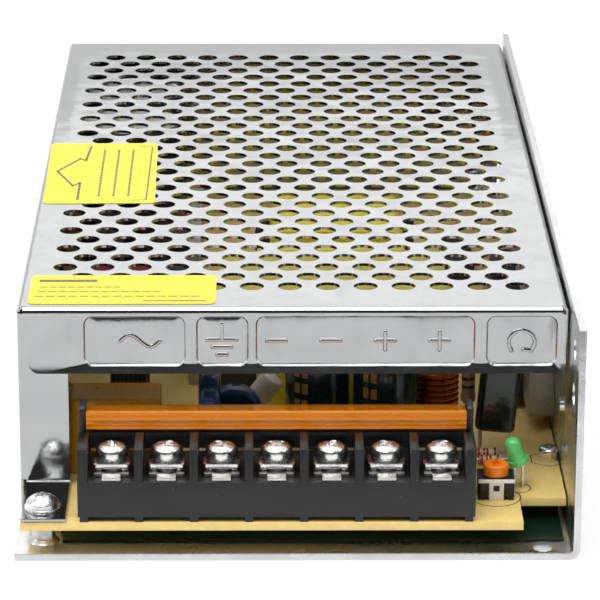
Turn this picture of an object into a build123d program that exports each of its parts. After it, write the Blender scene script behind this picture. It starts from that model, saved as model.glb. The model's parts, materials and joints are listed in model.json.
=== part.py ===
"""Enclosed switching power supply: sheet chassis, perforated cover, open terminal front.

Origin at the middle of the underside, +X right, +Y from the terminal front to the back, +Z up.
Millimetres throughout.
"""

import os
from math import asin, cos, pi, radians, sin, sqrt

from build123d import *

os.makedirs("parts", exist_ok=True)

# Overall case
LENGTH = 199.0
WIDTH = 98.0
HEIGHT = 42.0
CHASSIS_SHEET = 1.2
CHASSIS_BEND = 2.0
FRONT = -LENGTH / 2
BACK = LENGTH / 2
LEFT = -WIDTH / 2
RIGHT = WIDTH / 2
WALL_INNER = RIGHT - CHASSIS_SHEET

# Folded cover
COVER_SHEET = 0.8
COVER_BEND = 1.1
COVER_DROP = 2.0
COVER_SETBACK = 18.0
COVER_SIDE_GAP = 0.6
SIDE_FLANGE_DROP = 7.0
LIP_DEPTH = 12.1
RETURN_WIDTH = 8.8
COVER_TOP = HEIGHT - COVER_DROP
COVER_UNDER = COVER_TOP - COVER_SHEET
COVER_FRONT = FRONT + COVER_SETBACK
COVER_RIGHT = WALL_INNER - COVER_SIDE_GAP
LIP_BOTTOM = COVER_TOP - LIP_DEPTH

# Punched vent pattern: each round hole is drawn with six sides of the same area
HOLE_DIAMETER = 4.3
HOLE_SIDES = 6
HOLE_PITCH = 6.74
ROW_PITCH = 5.39
ROWS = 30
LONG_ROW = 13
PATTERN_FROM_FRONT = 29.7
PATTERN_SHIFT = -1.16
HOLE_CORNER = HOLE_DIAMETER / 2 * sqrt(2 * pi / (HOLE_SIDES * sin(2 * pi / HOLE_SIDES)))

# Pressed fields on the lip: left edge from the middle and width
FIELD_DEPTH = 0.35
FIELD_HEIGHT = 9.4
FIELD_BELOW_TOP = 1.45
FIELD_CORNER = 1.8
FIELD_TAPER = 30
FIELDS = [(-37.4, 18.0), (-17.7, 9.3), (-7.3, 38.6), (33.1, 12.6)]

# Circuit board
BOARD = 1.6
STANDOFF_HEIGHT = 3.6
BOARD_SETBACK = 1.7
BOARD_REAR_GAP = 2.5
BOARD_LEFT_GAP = 1.0
BOARD_RIGHT_GAP = 0.3
NOTCH_WIDTH = 8.3
NOTCH_DEPTH = 10.9
BOARD_BOTTOM = CHASSIS_SHEET + STANDOFF_HEIGHT
BOARD_TOP = BOARD_BOTTOM + BOARD
BOARD_LEFT = LEFT + BOARD_LEFT_GAP
BOARD_RIGHT = WALL_INNER - BOARD_RIGHT_GAP
BOARD_FRONT = FRONT + BOARD_SETBACK
BOARD_BACK = BACK - BOARD_REAR_GAP


def on_board(right, back):
    """Point measured from the board's front left corner."""
    return (BOARD_LEFT + right, BOARD_FRONT + back)


def dome_point(radius, rise):
    """Halfway point of the round dome over a head, from the middle of its top."""
    sphere = (radius**2 + rise**2) / (2 * rise)
    half = asin(radius / sphere) / 2
    return (sphere * sin(half), sphere * (1 - cos(half)))


# Board fixings: three M3 places and one small one beside the wall
SCREW_M3 = 1.5
SCREW_FIT = 0.1
STANDOFF_RADIUS = 2.1
STANDOFF_FOOT = 2.9
WASHER_RADIUS = 3.2
WASHER = 0.6
HEAD_RADIUS = 2.85
HEAD_HEIGHT = 2.2
HEAD_DOME = 1.4
SHEET_CLEARANCE = 0.6
M3_PLACES = [
    on_board(3.7, 4.5),
    (BOARD_LEFT + 3.6, BOARD_BACK - 5.0),
    (BOARD_RIGHT - 4.0, BOARD_BACK - 5.0),
]
EDGE_PLACE = (BOARD_RIGHT - 1.75, BOARD_FRONT + 29.3)
EDGE_HEAD_RADIUS = 1.9
EDGE_POST_RADIUS = 1.2

# Terminal strip
POLES = 7
POLE_PITCH = 9.525
BARRIER = 1.45
END_WALL = 1.8
STRIP_CENTRE = BOARD_LEFT + 44.4
STRIP_FEET = 0.9
STRIP_BLOCK = 6.45
BARRIER_RISE = 6.05
BARRIER_STEP = 1.2
STEP_FROM_FRONT = 8.5
REAR_WALL_FROM_FRONT = 11.6
REAR_WALL = 1.6
STRIP_DEPTH = 15.2
WINDOW_HEIGHT = 1.85
STRIP_WIDTH = POLES * POLE_PITCH - BARRIER + 2 * END_WALL
STRIP_BOTTOM = BOARD_TOP + STRIP_FEET
STRIP_FLOOR = STRIP_BOTTOM + STRIP_BLOCK
BARRIER_TOP = STRIP_FLOOR + BARRIER_RISE
STEP_TOP = BARRIER_TOP - BARRIER_STEP
STRIP_FRONT = BOARD_FRONT
STRIP_REAR = STRIP_FRONT + STRIP_DEPTH
STRIP_LEFT = STRIP_CENTRE - STRIP_WIDTH / 2
STRIP_RIGHT = STRIP_CENTRE + STRIP_WIDTH / 2
POLE_X = [STRIP_CENTRE + (i - (POLES - 1) / 2) * POLE_PITCH for i in range(POLES)]
BAY = POLE_PITCH - BARRIER

# Terminal hardware
SCREW_FROM_FRONT = 6.2
TERMINAL_SHANK = 1.65
THREAD_FIT = 0.05
SHANK_LENGTH = 6.0
TAB = 0.8
TAB_WIDTH = 6.2
TAB_NOSE = 3.3
PLATE = 0.8
PLATE_SIDE = 6.3
PLATE_SEAT_GAP = 0.1
PLATE_BORE_FIT = 0.2
TEETH = 0.45
SPRING_WASHER = 0.7
SPRING_WASHER_RADIUS = 2.3
TERMINAL_HEAD = 2.8
TERMINAL_HEAD_HEIGHT = 2.1
TERMINAL_DOME = 1.4
RECESS_DEPTH = 1.2
RECESS_WIDTH = 0.75
RECESS_SPAN = 3.1
SCREW_Y = STRIP_FRONT + SCREW_FROM_FRONT
TAB_TOP = STRIP_FLOOR + TAB
PLATE_BOTTOM = TAB_TOP + PLATE_SEAT_GAP + TEETH
HEAD_BOTTOM = PLATE_BOTTOM + PLATE + SPRING_WASHER

# Hinged terminal cover
EAR = 1.1
EAR_FROM_FRONT = 10.4
EAR_DEPTH = 4.6
EAR_TOP = BARRIER_TOP + 3.9
PIN_FROM_FRONT = 11.4
PIN_RISE = 1.9
PIN_RADIUS = 0.7
PIN_FIT = 0.05
FLAP = 0.8
FLAP_FRONT = 3.05
FLAP_LEAF = 8.4
FLAP_TILT = 11.0
FLAP_END_GAP = 0.15
FLAP_FRONT_FROM_PIN = 1.8
FLAP_TOP_FROM_PIN = 1.3
RIB = 0.25
PIN_Y = STRIP_FRONT + PIN_FROM_FRONT
PIN_Z = BARRIER_TOP + PIN_RISE


# Chassis: one sheet, floor and tall right wall
MOUNT_HOLE = 1.7
MOUNT_HOLE_AT = (RIGHT - 6.3, FRONT + 2.4)
SIDE_HOLE = 2.1
SIDE_HOLE_FROM_FRONT = 8.0
SIDE_HOLE_HEIGHTS = [27.6, 36.0]
BASE_THREAD = 1.5
BASE_SPACING_X = 50.0
BASE_SPACING_Y = 150.0
COVER_SCREW_Y = [COVER_FRONT + 30.0, BACK - 30.0]
COVER_SCREW_Z = COVER_TOP - 4.2
TAB_SCREW_X = LEFT + 4.2
TAB_SCREW_Y = [COVER_FRONT + 45.0, BACK - 45.0]
DIMPLE_RADIUS = 1.4
DIMPLE = 0.9
DIMPLE_AT = (COVER_FRONT + 7.0, 19.4)

with BuildPart() as chassis:
    with BuildSketch(Plane.XZ.offset(-FRONT)):
        with BuildLine():
            Polyline(
                (LEFT, 0),
                (RIGHT, 0),
                (RIGHT, HEIGHT),
                (WALL_INNER, HEIGHT),
                (WALL_INNER, CHASSIS_SHEET),
                (LEFT, CHASSIS_SHEET),
                close=True,
            )
        make_face()
    extrude(amount=-LENGTH)
    along = chassis.edges().filter_by(Axis.Y)
    outer_bend = along.sort_by_distance((RIGHT, 0, 0))[0]
    inner_bend = along.sort_by_distance((WALL_INNER, 0, CHASSIS_SHEET))[0]
    fillet(outer_bend, CHASSIS_BEND)
    fillet(inner_bend, CHASSIS_BEND - CHASSIS_SHEET)
    with BuildSketch(Plane.XY):
        with Locations(MOUNT_HOLE_AT):
            Circle(MOUNT_HOLE)
        with GridLocations(BASE_SPACING_X, BASE_SPACING_Y, 2, 2):
            Circle(BASE_THREAD)
    extrude(amount=CHASSIS_SHEET, mode=Mode.SUBTRACT)
    with BuildSketch(Plane.YZ.offset(WALL_INNER)):
        with Locations(*[(FRONT + SIDE_HOLE_FROM_FRONT, z) for z in SIDE_HOLE_HEIGHTS]):
            Circle(SIDE_HOLE)
    extrude(amount=CHASSIS_SHEET, mode=Mode.SUBTRACT)
    with Locations(*[Plane((RIGHT, y, COVER_SCREW_Z), z_dir=(1, 0, 0)) for y in COVER_SCREW_Y]):
        CounterSinkHole(SCREW_M3 + SCREW_FIT, HEAD_RADIUS, depth=CHASSIS_SHEET)
    with Locations(*[Plane((TAB_SCREW_X, y, 0), z_dir=(0, 0, -1)) for y in TAB_SCREW_Y]):
        CounterSinkHole(SCREW_M3 + SCREW_FIT, HEAD_RADIUS, depth=CHASSIS_SHEET)
    with BuildSketch(Plane.YZ.offset(WALL_INNER)):
        with Locations(DIMPLE_AT):
            Circle(DIMPLE_RADIUS)
    extrude(amount=-DIMPLE)
chassis.part.label = "chassis"
export_step(chassis.part, "parts/chassis.step")


# Cover: one folded sheet with top, left side, lip, front return, foot and rear panel
FOOT_SETBACK = 0.3
SELECTOR_WINDOW = (10.0, 5.0)
WINDOW_CORNER = 0.8
SELECTOR_Y = BOARD_FRONT + 98.5
SELECTOR_Z = BOARD_TOP + 6.5
LIP_CORNER = 2.0
LIP_ROUND = 1.9
REAR_PANEL_GAP = 0.4
TAB_LENGTH = 8.0
TAB_REACH = 7.0
foot_top = BOARD_TOP + COVER_SHEET
return_front = COVER_FRONT + COVER_SHEET
return_back = return_front + COVER_SHEET
foot_front = BOARD_FRONT - FOOT_SETBACK


def folded_block(left, right, front, back, bottom, top, bend):
    """Block whose upper edges follow the bends on all four sides."""
    with BuildPart() as block:
        with BuildSketch(Plane.XZ.offset(-front)) as across:
            with Locations((left, bottom)):
                Rectangle(right - left, top - bottom, align=(Align.MIN, Align.MIN))
            fillet(across.vertices().group_by(Axis.Y)[-1], bend)
        extrude(amount=front - back)
        with BuildSketch(Plane.YZ.offset(left)) as along:
            with Locations((front, bottom)):
                Rectangle(back - front, top - bottom, align=(Align.MIN, Align.MIN))
            fillet(along.vertices().group_by(Axis.Y)[-1], bend)
        extrude(amount=right - left, mode=Mode.INTERSECT)
    return block.part


cover_outside = folded_block(LEFT, COVER_RIGHT, COVER_FRONT, BACK, CHASSIS_SHEET, COVER_TOP, COVER_BEND)
cover_hollow = folded_block(
    LEFT + COVER_SHEET,
    COVER_RIGHT - COVER_SHEET,
    COVER_FRONT + COVER_SHEET,
    BACK - COVER_SHEET,
    0,
    COVER_UNDER,
    COVER_BEND - COVER_SHEET,
)

with BuildPart() as cover:
    add(cover_outside)
    add(cover_hollow, mode=Mode.SUBTRACT)
    # Open front below the lip, whose free lower corner is rounded
    with BuildSketch(Plane.XZ.offset(-COVER_FRONT)) as opening:
        with BuildLine():
            Polyline(
                (LEFT + COVER_SHEET, 0),
                (LEFT + COVER_SHEET, LIP_BOTTOM),
                (COVER_RIGHT, LIP_BOTTOM),
                (COVER_RIGHT, LIP_BOTTOM + LIP_CORNER),
                (COVER_RIGHT + LIP_CORNER, LIP_BOTTOM + LIP_CORNER),
                (COVER_RIGHT + LIP_CORNER, 0),
                close=True,
            )
        make_face()
        fillet(opening.vertices().sort_by_distance((COVER_RIGHT, LIP_BOTTOM, 0))[0], LIP_ROUND)
    extrude(amount=-COVER_SHEET, mode=Mode.SUBTRACT)
    # Right side cut down to the flange that slips inside the wall
    with BuildSketch(Plane.YZ.offset(COVER_RIGHT)):
        with Locations((COVER_FRONT + COVER_SHEET, 0)):
            Rectangle(BACK - COVER_FRONT, COVER_TOP - SIDE_FLANGE_DROP, align=(Align.MIN, Align.MIN))
    extrude(amount=-COVER_SHEET, mode=Mode.SUBTRACT)
    # Rear panel stops just above the floor
    with BuildSketch(Plane.XZ.offset(-BACK)):
        with Locations((LEFT, 0)):
            Rectangle(WIDTH, CHASSIS_SHEET + REAR_PANEL_GAP, align=(Align.MIN, Align.MIN))
    extrude(amount=COVER_SHEET, mode=Mode.SUBTRACT)
    # Return behind the lip, folded forward at its lower end as a foot on the board
    with BuildSketch(Plane.YZ.offset(LEFT)) as strap:
        with BuildLine():
            Polyline(
                (return_back, COVER_UNDER),
                (return_back, BOARD_TOP),
                (foot_front, BOARD_TOP),
                (foot_front, foot_top),
                (return_front, foot_top),
                (return_front, COVER_UNDER),
                close=True,
            )
        make_face()
        fillet(strap.vertices().sort_by_distance((return_back, BOARD_TOP, 0))[0], COVER_BEND)
        fillet(strap.vertices().sort_by_distance((return_front, foot_top, 0))[0], COVER_BEND - COVER_SHEET)
    extrude(amount=RETURN_WIDTH)
    # Two feet turned in at the bottom of the left side, for the screws from below
    with BuildSketch(Plane.XY.offset(CHASSIS_SHEET)):
        with Locations(*[(LEFT, y) for y in TAB_SCREW_Y]):
            Rectangle(TAB_REACH, TAB_LENGTH, align=(Align.MIN, Align.CENTER))
    extrude(amount=COVER_SHEET)
    # Pressed fields on the lip
    with BuildSketch(Plane.XZ.offset(-COVER_FRONT)):
        for field_left, field_width in FIELDS:
            with Locations((field_left, COVER_TOP - FIELD_BELOW_TOP)):
                RectangleRounded(field_width, FIELD_HEIGHT, FIELD_CORNER, align=(Align.MIN, Align.MAX))
    extrude(amount=-FIELD_DEPTH, taper=FIELD_TAPER, mode=Mode.SUBTRACT)
    # Window for the voltage selector
    with BuildSketch(Plane.YZ.offset(LEFT)):
        with Locations((SELECTOR_Y, SELECTOR_Z)):
            RectangleRounded(*SELECTOR_WINDOW, WINDOW_CORNER)
    extrude(amount=COVER_SHEET, mode=Mode.SUBTRACT)
    # Screw holes in the foot, the turned-in feet and the flange
    with BuildSketch(Plane.XY.offset(BOARD_TOP)):
        with Locations(M3_PLACES[0]):
            Circle(SCREW_M3 + SCREW_FIT)
    extrude(amount=COVER_SHEET, mode=Mode.SUBTRACT)
    with BuildSketch(Plane.XY.offset(CHASSIS_SHEET)):
        with Locations(*[(TAB_SCREW_X, y) for y in TAB_SCREW_Y]):
            Circle(SCREW_M3)
    extrude(amount=COVER_SHEET, mode=Mode.SUBTRACT)
    with BuildSketch(Plane.YZ.offset(COVER_RIGHT - COVER_SHEET)):
        with Locations(*[(y, COVER_SCREW_Z) for y in COVER_SCREW_Y]):
            Circle(SCREW_M3)
    extrude(amount=COVER_SHEET, mode=Mode.SUBTRACT)
    # Vent holes in offset rows
    rows_centre = FRONT + PATTERN_FROM_FRONT + (ROWS - 1) / 2 * ROW_PITCH
    with BuildSketch(Plane.XY.offset(COVER_UNDER)):
        with Locations((PATTERN_SHIFT, rows_centre - ROW_PITCH / 2)):
            with GridLocations(HOLE_PITCH, 2 * ROW_PITCH, LONG_ROW, ROWS // 2):
                RegularPolygon(HOLE_CORNER, HOLE_SIDES)
        with Locations((PATTERN_SHIFT, rows_centre + ROW_PITCH / 2)):
            with GridLocations(HOLE_PITCH, 2 * ROW_PITCH, LONG_ROW - 1, ROWS // 2):
                RegularPolygon(HOLE_CORNER, HOLE_SIDES)
    extrude(amount=COVER_SHEET, mode=Mode.SUBTRACT)
cover.part.label = "cover"
export_step(cover.part, "parts/cover.step")


# Cover screws: flush countersunk, two through the wall and two up through the floor
COVER_SCREW_REACH = 2.6

with BuildPart() as cover_screws:
    side_places = [Plane((RIGHT, y, COVER_SCREW_Z), z_dir=(1, 0, 0)) for y in COVER_SCREW_Y]
    floor_places = [Plane((TAB_SCREW_X, y, 0), z_dir=(0, 0, -1)) for y in TAB_SCREW_Y]
    with Locations(*side_places, *floor_places):
        Cylinder(SCREW_M3, COVER_SCREW_REACH, align=(Align.CENTER, Align.CENTER, Align.MAX))
        Cone(
            SCREW_M3,
            HEAD_RADIUS - SCREW_FIT,
            HEAD_RADIUS - SCREW_FIT - SCREW_M3,
            align=(Align.CENTER, Align.CENTER, Align.MAX),
        )
cover_screws.part.label = "cover_screws"
export_step(cover_screws.part, "parts/cover_screws.step")


# Green insulating sheet between floor and board
INSULATION = 0.4
INSULATION_LEFT = LEFT + 7.6
INSULATION_FRONT = FRONT + 5.2
INSULATION_MARGIN = 1.2

with BuildPart() as insulating_sheet:
    with BuildSketch(Plane.XY.offset(CHASSIS_SHEET)):
        with Locations((INSULATION_LEFT, INSULATION_FRONT)):
            Rectangle(
                WALL_INNER - INSULATION_MARGIN - INSULATION_LEFT,
                BACK - COVER_SHEET - INSULATION_MARGIN - INSULATION_FRONT,
                align=(Align.MIN, Align.MIN),
            )
        with Locations(*M3_PLACES, EDGE_PLACE):
            Circle(STANDOFF_FOOT + SHEET_CLEARANCE, mode=Mode.SUBTRACT)
    extrude(amount=INSULATION)
insulating_sheet.part.label = "insulating_sheet"
export_step(insulating_sheet.part, "parts/insulating_sheet.step")


# Standoffs: turned pillars with a flared foot, and a slim one at the board's edge
FOOT_FLARE = 0.8

with BuildPart() as standoffs:
    with BuildSketch(Plane.XY.offset(CHASSIS_SHEET)):
        with Locations(*M3_PLACES):
            Circle(STANDOFF_RADIUS)
        with Locations(EDGE_PLACE):
            Circle(EDGE_POST_RADIUS)
    extrude(amount=STANDOFF_HEIGHT)
    with Locations(*[(x, y, CHASSIS_SHEET) for x, y in M3_PLACES]):
        Cone(STANDOFF_FOOT, STANDOFF_RADIUS, FOOT_FLARE, align=(Align.CENTER, Align.CENTER, Align.MIN))
    with BuildSketch(Plane.XY.offset(BOARD_BOTTOM)):
        with Locations(*M3_PLACES):
            Circle(SCREW_M3)
    extrude(amount=-(STANDOFF_HEIGHT - CHASSIS_SHEET / 2), mode=Mode.SUBTRACT)
standoffs.part.label = "standoffs"
export_step(standoffs.part, "parts/standoffs.step")


# Circuit board with the step at its front right corner
with BuildPart() as pcb:
    with BuildSketch(Plane.XY.offset(BOARD_BOTTOM)):
        with BuildLine():
            Polyline(
                (BOARD_LEFT, BOARD_FRONT),
                (BOARD_RIGHT - NOTCH_WIDTH, BOARD_FRONT),
                (BOARD_RIGHT - NOTCH_WIDTH, BOARD_FRONT + NOTCH_DEPTH),
                (BOARD_RIGHT, BOARD_FRONT + NOTCH_DEPTH),
                (BOARD_RIGHT, BOARD_BACK),
                (BOARD_LEFT, BOARD_BACK),
                close=True,
            )
        make_face()
        with Locations(*M3_PLACES):
            Circle(SCREW_M3 + SCREW_FIT, mode=Mode.SUBTRACT)
    extrude(amount=BOARD)
pcb.part.label = "pcb"
export_step(pcb.part, "parts/pcb.step")


# Board screws: pan heads with flat washers, the front left one clamps the cover's foot
EDGE_HEAD = 2.6
EDGE_HEAD_ROUND = 0.9
EDGE_BAND = 0.01
SHANK_BELOW = 2.0
CROSS_TURN = 25
CROSS_DEPTH = 1.0
CROSS_WIDTH = 0.7
CROSS_SPAN = 2.8
seat_heights = [foot_top, BOARD_TOP, BOARD_TOP]
dome_x, dome_drop = dome_point(HEAD_RADIUS, HEAD_DOME)

with BuildPart() as pcb_screws:
    for (x, y), seat in zip(M3_PLACES, seat_heights):
        head_z = seat + WASHER
        with BuildSketch(Plane.XZ.offset(-y)):
            with BuildLine():
                shank = Polyline(
                    (x, head_z + HEAD_HEIGHT),
                    (x, BOARD_BOTTOM - SHANK_BELOW),
                    (x + SCREW_M3, BOARD_BOTTOM - SHANK_BELOW),
                    (x + SCREW_M3, seat),
                    (x + WASHER_RADIUS, seat),
                    (x + WASHER_RADIUS, seat + WASHER),
                    (x + HEAD_RADIUS, seat + WASHER),
                    (x + HEAD_RADIUS, head_z + HEAD_HEIGHT - HEAD_DOME),
                )
                ThreePointArc(
                    shank @ 1,
                    (x + dome_x, head_z + HEAD_HEIGHT - dome_drop),
                    shank @ 0,
                )
            make_face()
        revolve(axis=Axis((x, y, 0), (0, 0, 1)))
        with BuildSketch(Plane.XY.offset(head_z + HEAD_HEIGHT)):
            with Locations(Location((x, y), CROSS_TURN)):
                Rectangle(CROSS_SPAN, CROSS_WIDTH)
                Rectangle(CROSS_WIDTH, CROSS_SPAN)
        extrude(amount=-CROSS_DEPTH, mode=Mode.SUBTRACT)
    with BuildSketch(Plane.XY.offset(BOARD_TOP)):
        with Locations(EDGE_PLACE):
            Circle(EDGE_HEAD_RADIUS)
    extrude(amount=EDGE_HEAD)
    edge_rim = pcb_screws.edges().filter_by(GeomType.CIRCLE).filter_by_position(
        Axis.Z, BOARD_TOP + EDGE_HEAD - EDGE_BAND, BOARD_TOP + EDGE_HEAD + EDGE_BAND
    )
    fillet(edge_rim, EDGE_HEAD_ROUND)
pcb_screws.part.label = "pcb_screws"
export_step(pcb_screws.part, "parts/pcb_screws.step")


# Terminal strip housing: block, barriers, windowed rear wall and two hinge ears
POCKET = TERMINAL_SHANK + 0.35
POCKET_SIDES = 8
POCKET_SPARE = 0.3
FOOT_LENGTH = 3.0
EAR_ROUND = 0.8

with BuildPart() as terminal_housing:
    with BuildSketch(Plane.YZ.offset(STRIP_LEFT)):
        with BuildLine():
            Polyline(
                (STRIP_FRONT, STRIP_BOTTOM),
                (STRIP_REAR, STRIP_BOTTOM),
                (STRIP_REAR, STRIP_FLOOR),
                (STRIP_FRONT + REAR_WALL_FROM_FRONT + REAR_WALL, STRIP_FLOOR),
                (STRIP_FRONT + REAR_WALL_FROM_FRONT + REAR_WALL, STEP_TOP),
                (STRIP_FRONT + STEP_FROM_FRONT, STEP_TOP),
                (STRIP_FRONT + STEP_FROM_FRONT, BARRIER_TOP),
                (STRIP_FRONT, BARRIER_TOP),
                close=True,
            )
        make_face()
    extrude(amount=STRIP_WIDTH)
    # Bays between the barriers, open to the front and above
    with BuildSketch(Plane.XY.offset(STRIP_FLOOR)):
        with Locations(*[(x, STRIP_FRONT) for x in POLE_X]):
            Rectangle(BAY, REAR_WALL_FROM_FRONT, align=(Align.CENTER, Align.MIN))
    extrude(amount=BARRIER_RISE, mode=Mode.SUBTRACT)
    # Window at the foot of the rear wall of each bay
    with BuildSketch(Plane.XY.offset(STRIP_FLOOR)):
        with Locations(*[(x, STRIP_FRONT + REAR_WALL_FROM_FRONT) for x in POLE_X]):
            Rectangle(BAY, REAR_WALL, align=(Align.CENTER, Align.MIN))
    extrude(amount=WINDOW_HEIGHT, mode=Mode.SUBTRACT)
    # Screw pockets below the tabs
    with BuildSketch(Plane.XY.offset(STRIP_FLOOR)):
        with Locations(*[(x, SCREW_Y) for x in POLE_X]):
            RegularPolygon(POCKET, POCKET_SIDES, major_radius=False)
    extrude(amount=-(SHANK_LENGTH - TAB + POCKET_SPARE), mode=Mode.SUBTRACT)
    # Feet on the board below each barrier
    with BuildSketch(Plane.XY.offset(BOARD_TOP)):
        for row_y in (STRIP_FRONT, STRIP_REAR - FOOT_LENGTH):
            with Locations((STRIP_CENTRE, row_y)):
                with GridLocations(POLE_PITCH, 1, POLES + 1, 1):
                    Rectangle(BARRIER, FOOT_LENGTH, align=(Align.CENTER, Align.MIN))
    extrude(amount=STRIP_FEET)
    # Hinge ears at both ends with the pin bores
    with BuildSketch(Plane.YZ.offset(STRIP_LEFT)) as ear:
        with Locations((STRIP_FRONT + EAR_FROM_FRONT, STRIP_FLOOR)):
            Rectangle(EAR_DEPTH, EAR_TOP - STRIP_FLOOR, align=(Align.MIN, Align.MIN))
        fillet(ear.vertices().group_by(Axis.Y)[-1], EAR_ROUND)
    extrude(amount=EAR)
    with BuildSketch(Plane.YZ.offset(STRIP_RIGHT - EAR)) as ear:
        with Locations((STRIP_FRONT + EAR_FROM_FRONT, STRIP_FLOOR)):
            Rectangle(EAR_DEPTH, EAR_TOP - STRIP_FLOOR, align=(Align.MIN, Align.MIN))
        fillet(ear.vertices().group_by(Axis.Y)[-1], EAR_ROUND)
    extrude(amount=EAR)
    with BuildSketch(Plane.YZ.offset(STRIP_LEFT)):
        with Locations((PIN_Y, PIN_Z)):
            Circle(PIN_RADIUS + PIN_FIT)
    extrude(amount=STRIP_WIDTH, mode=Mode.SUBTRACT)
terminal_housing.part.label = "terminal_housing"
export_step(terminal_housing.part, "parts/terminal_housing.step")


# Terminal tabs: tapped plates under the screws
TAB_SETBACK = 0.4
NOSE_LENGTH = 2.4
TAB_REAR_GAP = 0.4

with BuildPart() as terminal_tabs:
    plate_front = STRIP_FRONT + TAB_SETBACK + NOSE_LENGTH
    plate_depth = STRIP_FRONT + REAR_WALL_FROM_FRONT - TAB_REAR_GAP - plate_front
    with BuildSketch(Plane.XY.offset(STRIP_FLOOR)):
        with Locations(*[(x, plate_front) for x in POLE_X]):
            Rectangle(TAB_WIDTH, plate_depth, align=(Align.CENTER, Align.MIN))
            Rectangle(TAB_NOSE, NOSE_LENGTH, align=(Align.CENTER, Align.MAX))
        with Locations(*[(x, SCREW_Y) for x in POLE_X]):
            Circle(TERMINAL_SHANK + THREAD_FIT, mode=Mode.SUBTRACT)
    extrude(amount=TAB)
terminal_tabs.part.label = "terminal_tabs"
export_step(terminal_tabs.part, "parts/terminal_tabs.step")


# Clamp plates: square washers with a toothed row down each side
PLATE_CORNER = 0.5
TEETH_WIDTH = 0.9
TEETH_INSET = 0.9
TEETH_MARGIN = 0.5


def clamp_plate_at(x):
    with BuildPart() as clamp_plate:
        with BuildSketch(Plane.XY.offset(PLATE_BOTTOM)):
            with Locations((x, SCREW_Y)):
                RectangleRounded(PLATE_SIDE, PLATE_SIDE, PLATE_CORNER)
                Circle(TERMINAL_SHANK + PLATE_BORE_FIT, mode=Mode.SUBTRACT)
        extrude(amount=PLATE)
        with BuildSketch(Plane.XY.offset(PLATE_BOTTOM)):
            with Locations((x, SCREW_Y)):
                with GridLocations(PLATE_SIDE - 2 * TEETH_INSET, 1, 2, 1):
                    Rectangle(TEETH_WIDTH, PLATE_SIDE - 2 * TEETH_MARGIN)
        extrude(amount=-TEETH)
    return clamp_plate.part


for number, x in enumerate(POLE_X, start=1):
    clamp_plate = clamp_plate_at(x)
    clamp_plate.label = f"clamp_plate_{number}"
    export_step(clamp_plate, f"parts/clamp_plate_{number}.step")


# Terminal screws: domed cross heads with a captive spring washer
def terminal_screw_at(x, turn):
    head_top = HEAD_BOTTOM + TERMINAL_HEAD_HEIGHT
    middle_x, middle_drop = dome_point(TERMINAL_HEAD, TERMINAL_DOME)
    with BuildPart() as terminal_screw:
        with BuildSketch(Plane.XZ.offset(-SCREW_Y)):
            with BuildLine():
                shank = Polyline(
                    (x, head_top),
                    (x, TAB_TOP - SHANK_LENGTH),
                    (x + TERMINAL_SHANK, TAB_TOP - SHANK_LENGTH),
                    (x + TERMINAL_SHANK, PLATE_BOTTOM + PLATE),
                    (x + SPRING_WASHER_RADIUS, PLATE_BOTTOM + PLATE),
                    (x + SPRING_WASHER_RADIUS, HEAD_BOTTOM),
                    (x + TERMINAL_HEAD, HEAD_BOTTOM),
                    (x + TERMINAL_HEAD, head_top - TERMINAL_DOME),
                )
                ThreePointArc(
                    shank @ 1,
                    (x + middle_x, head_top - middle_drop),
                    shank @ 0,
                )
            make_face()
        revolve(axis=Axis((x, SCREW_Y, 0), (0, 0, 1)))
        with BuildSketch(Plane.XY.offset(head_top)):
            with Locations(Location((x, SCREW_Y), turn)):
                Rectangle(RECESS_SPAN, RECESS_WIDTH)
                Rectangle(RECESS_WIDTH, RECESS_SPAN)
        extrude(amount=-RECESS_DEPTH, mode=Mode.SUBTRACT)
    return terminal_screw.part


SCREW_TURNS = [20, 62, 34, 44, 68, 27, 52]
for number, x in enumerate(POLE_X, start=1):
    terminal_screw = terminal_screw_at(x, SCREW_TURNS[(number - 1) % len(SCREW_TURNS)])
    terminal_screw.label = f"terminal_screw_{number}"
    export_step(terminal_screw, f"parts/terminal_screw_{number}.step")


# Hinged terminal cover, folded back: short ribbed leaf in front, long leaf to the rear
FLAP_CORNER_CUT = 1.0
RIB_HEIGHTS = [0.42, 0.92]
RIB_WIDTH = 0.4
RIB_MARGIN = 1.5
WEB = 1.2
WEB_ROUND = 1.0
PIN_END_GAP = 0.1
flap_left = STRIP_LEFT + EAR + FLAP_END_GAP
flap_right = STRIP_RIGHT - EAR - FLAP_END_GAP
flap_front_y = PIN_Y - FLAP_FRONT_FROM_PIN
flap_top_z = PIN_Z + FLAP_TOP_FROM_PIN
leaf_y = FLAP_LEAF * cos(radians(FLAP_TILT))
leaf_z = FLAP_LEAF * sin(radians(FLAP_TILT))
pin_reach = EAR + FLAP_END_GAP - PIN_END_GAP

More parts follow.
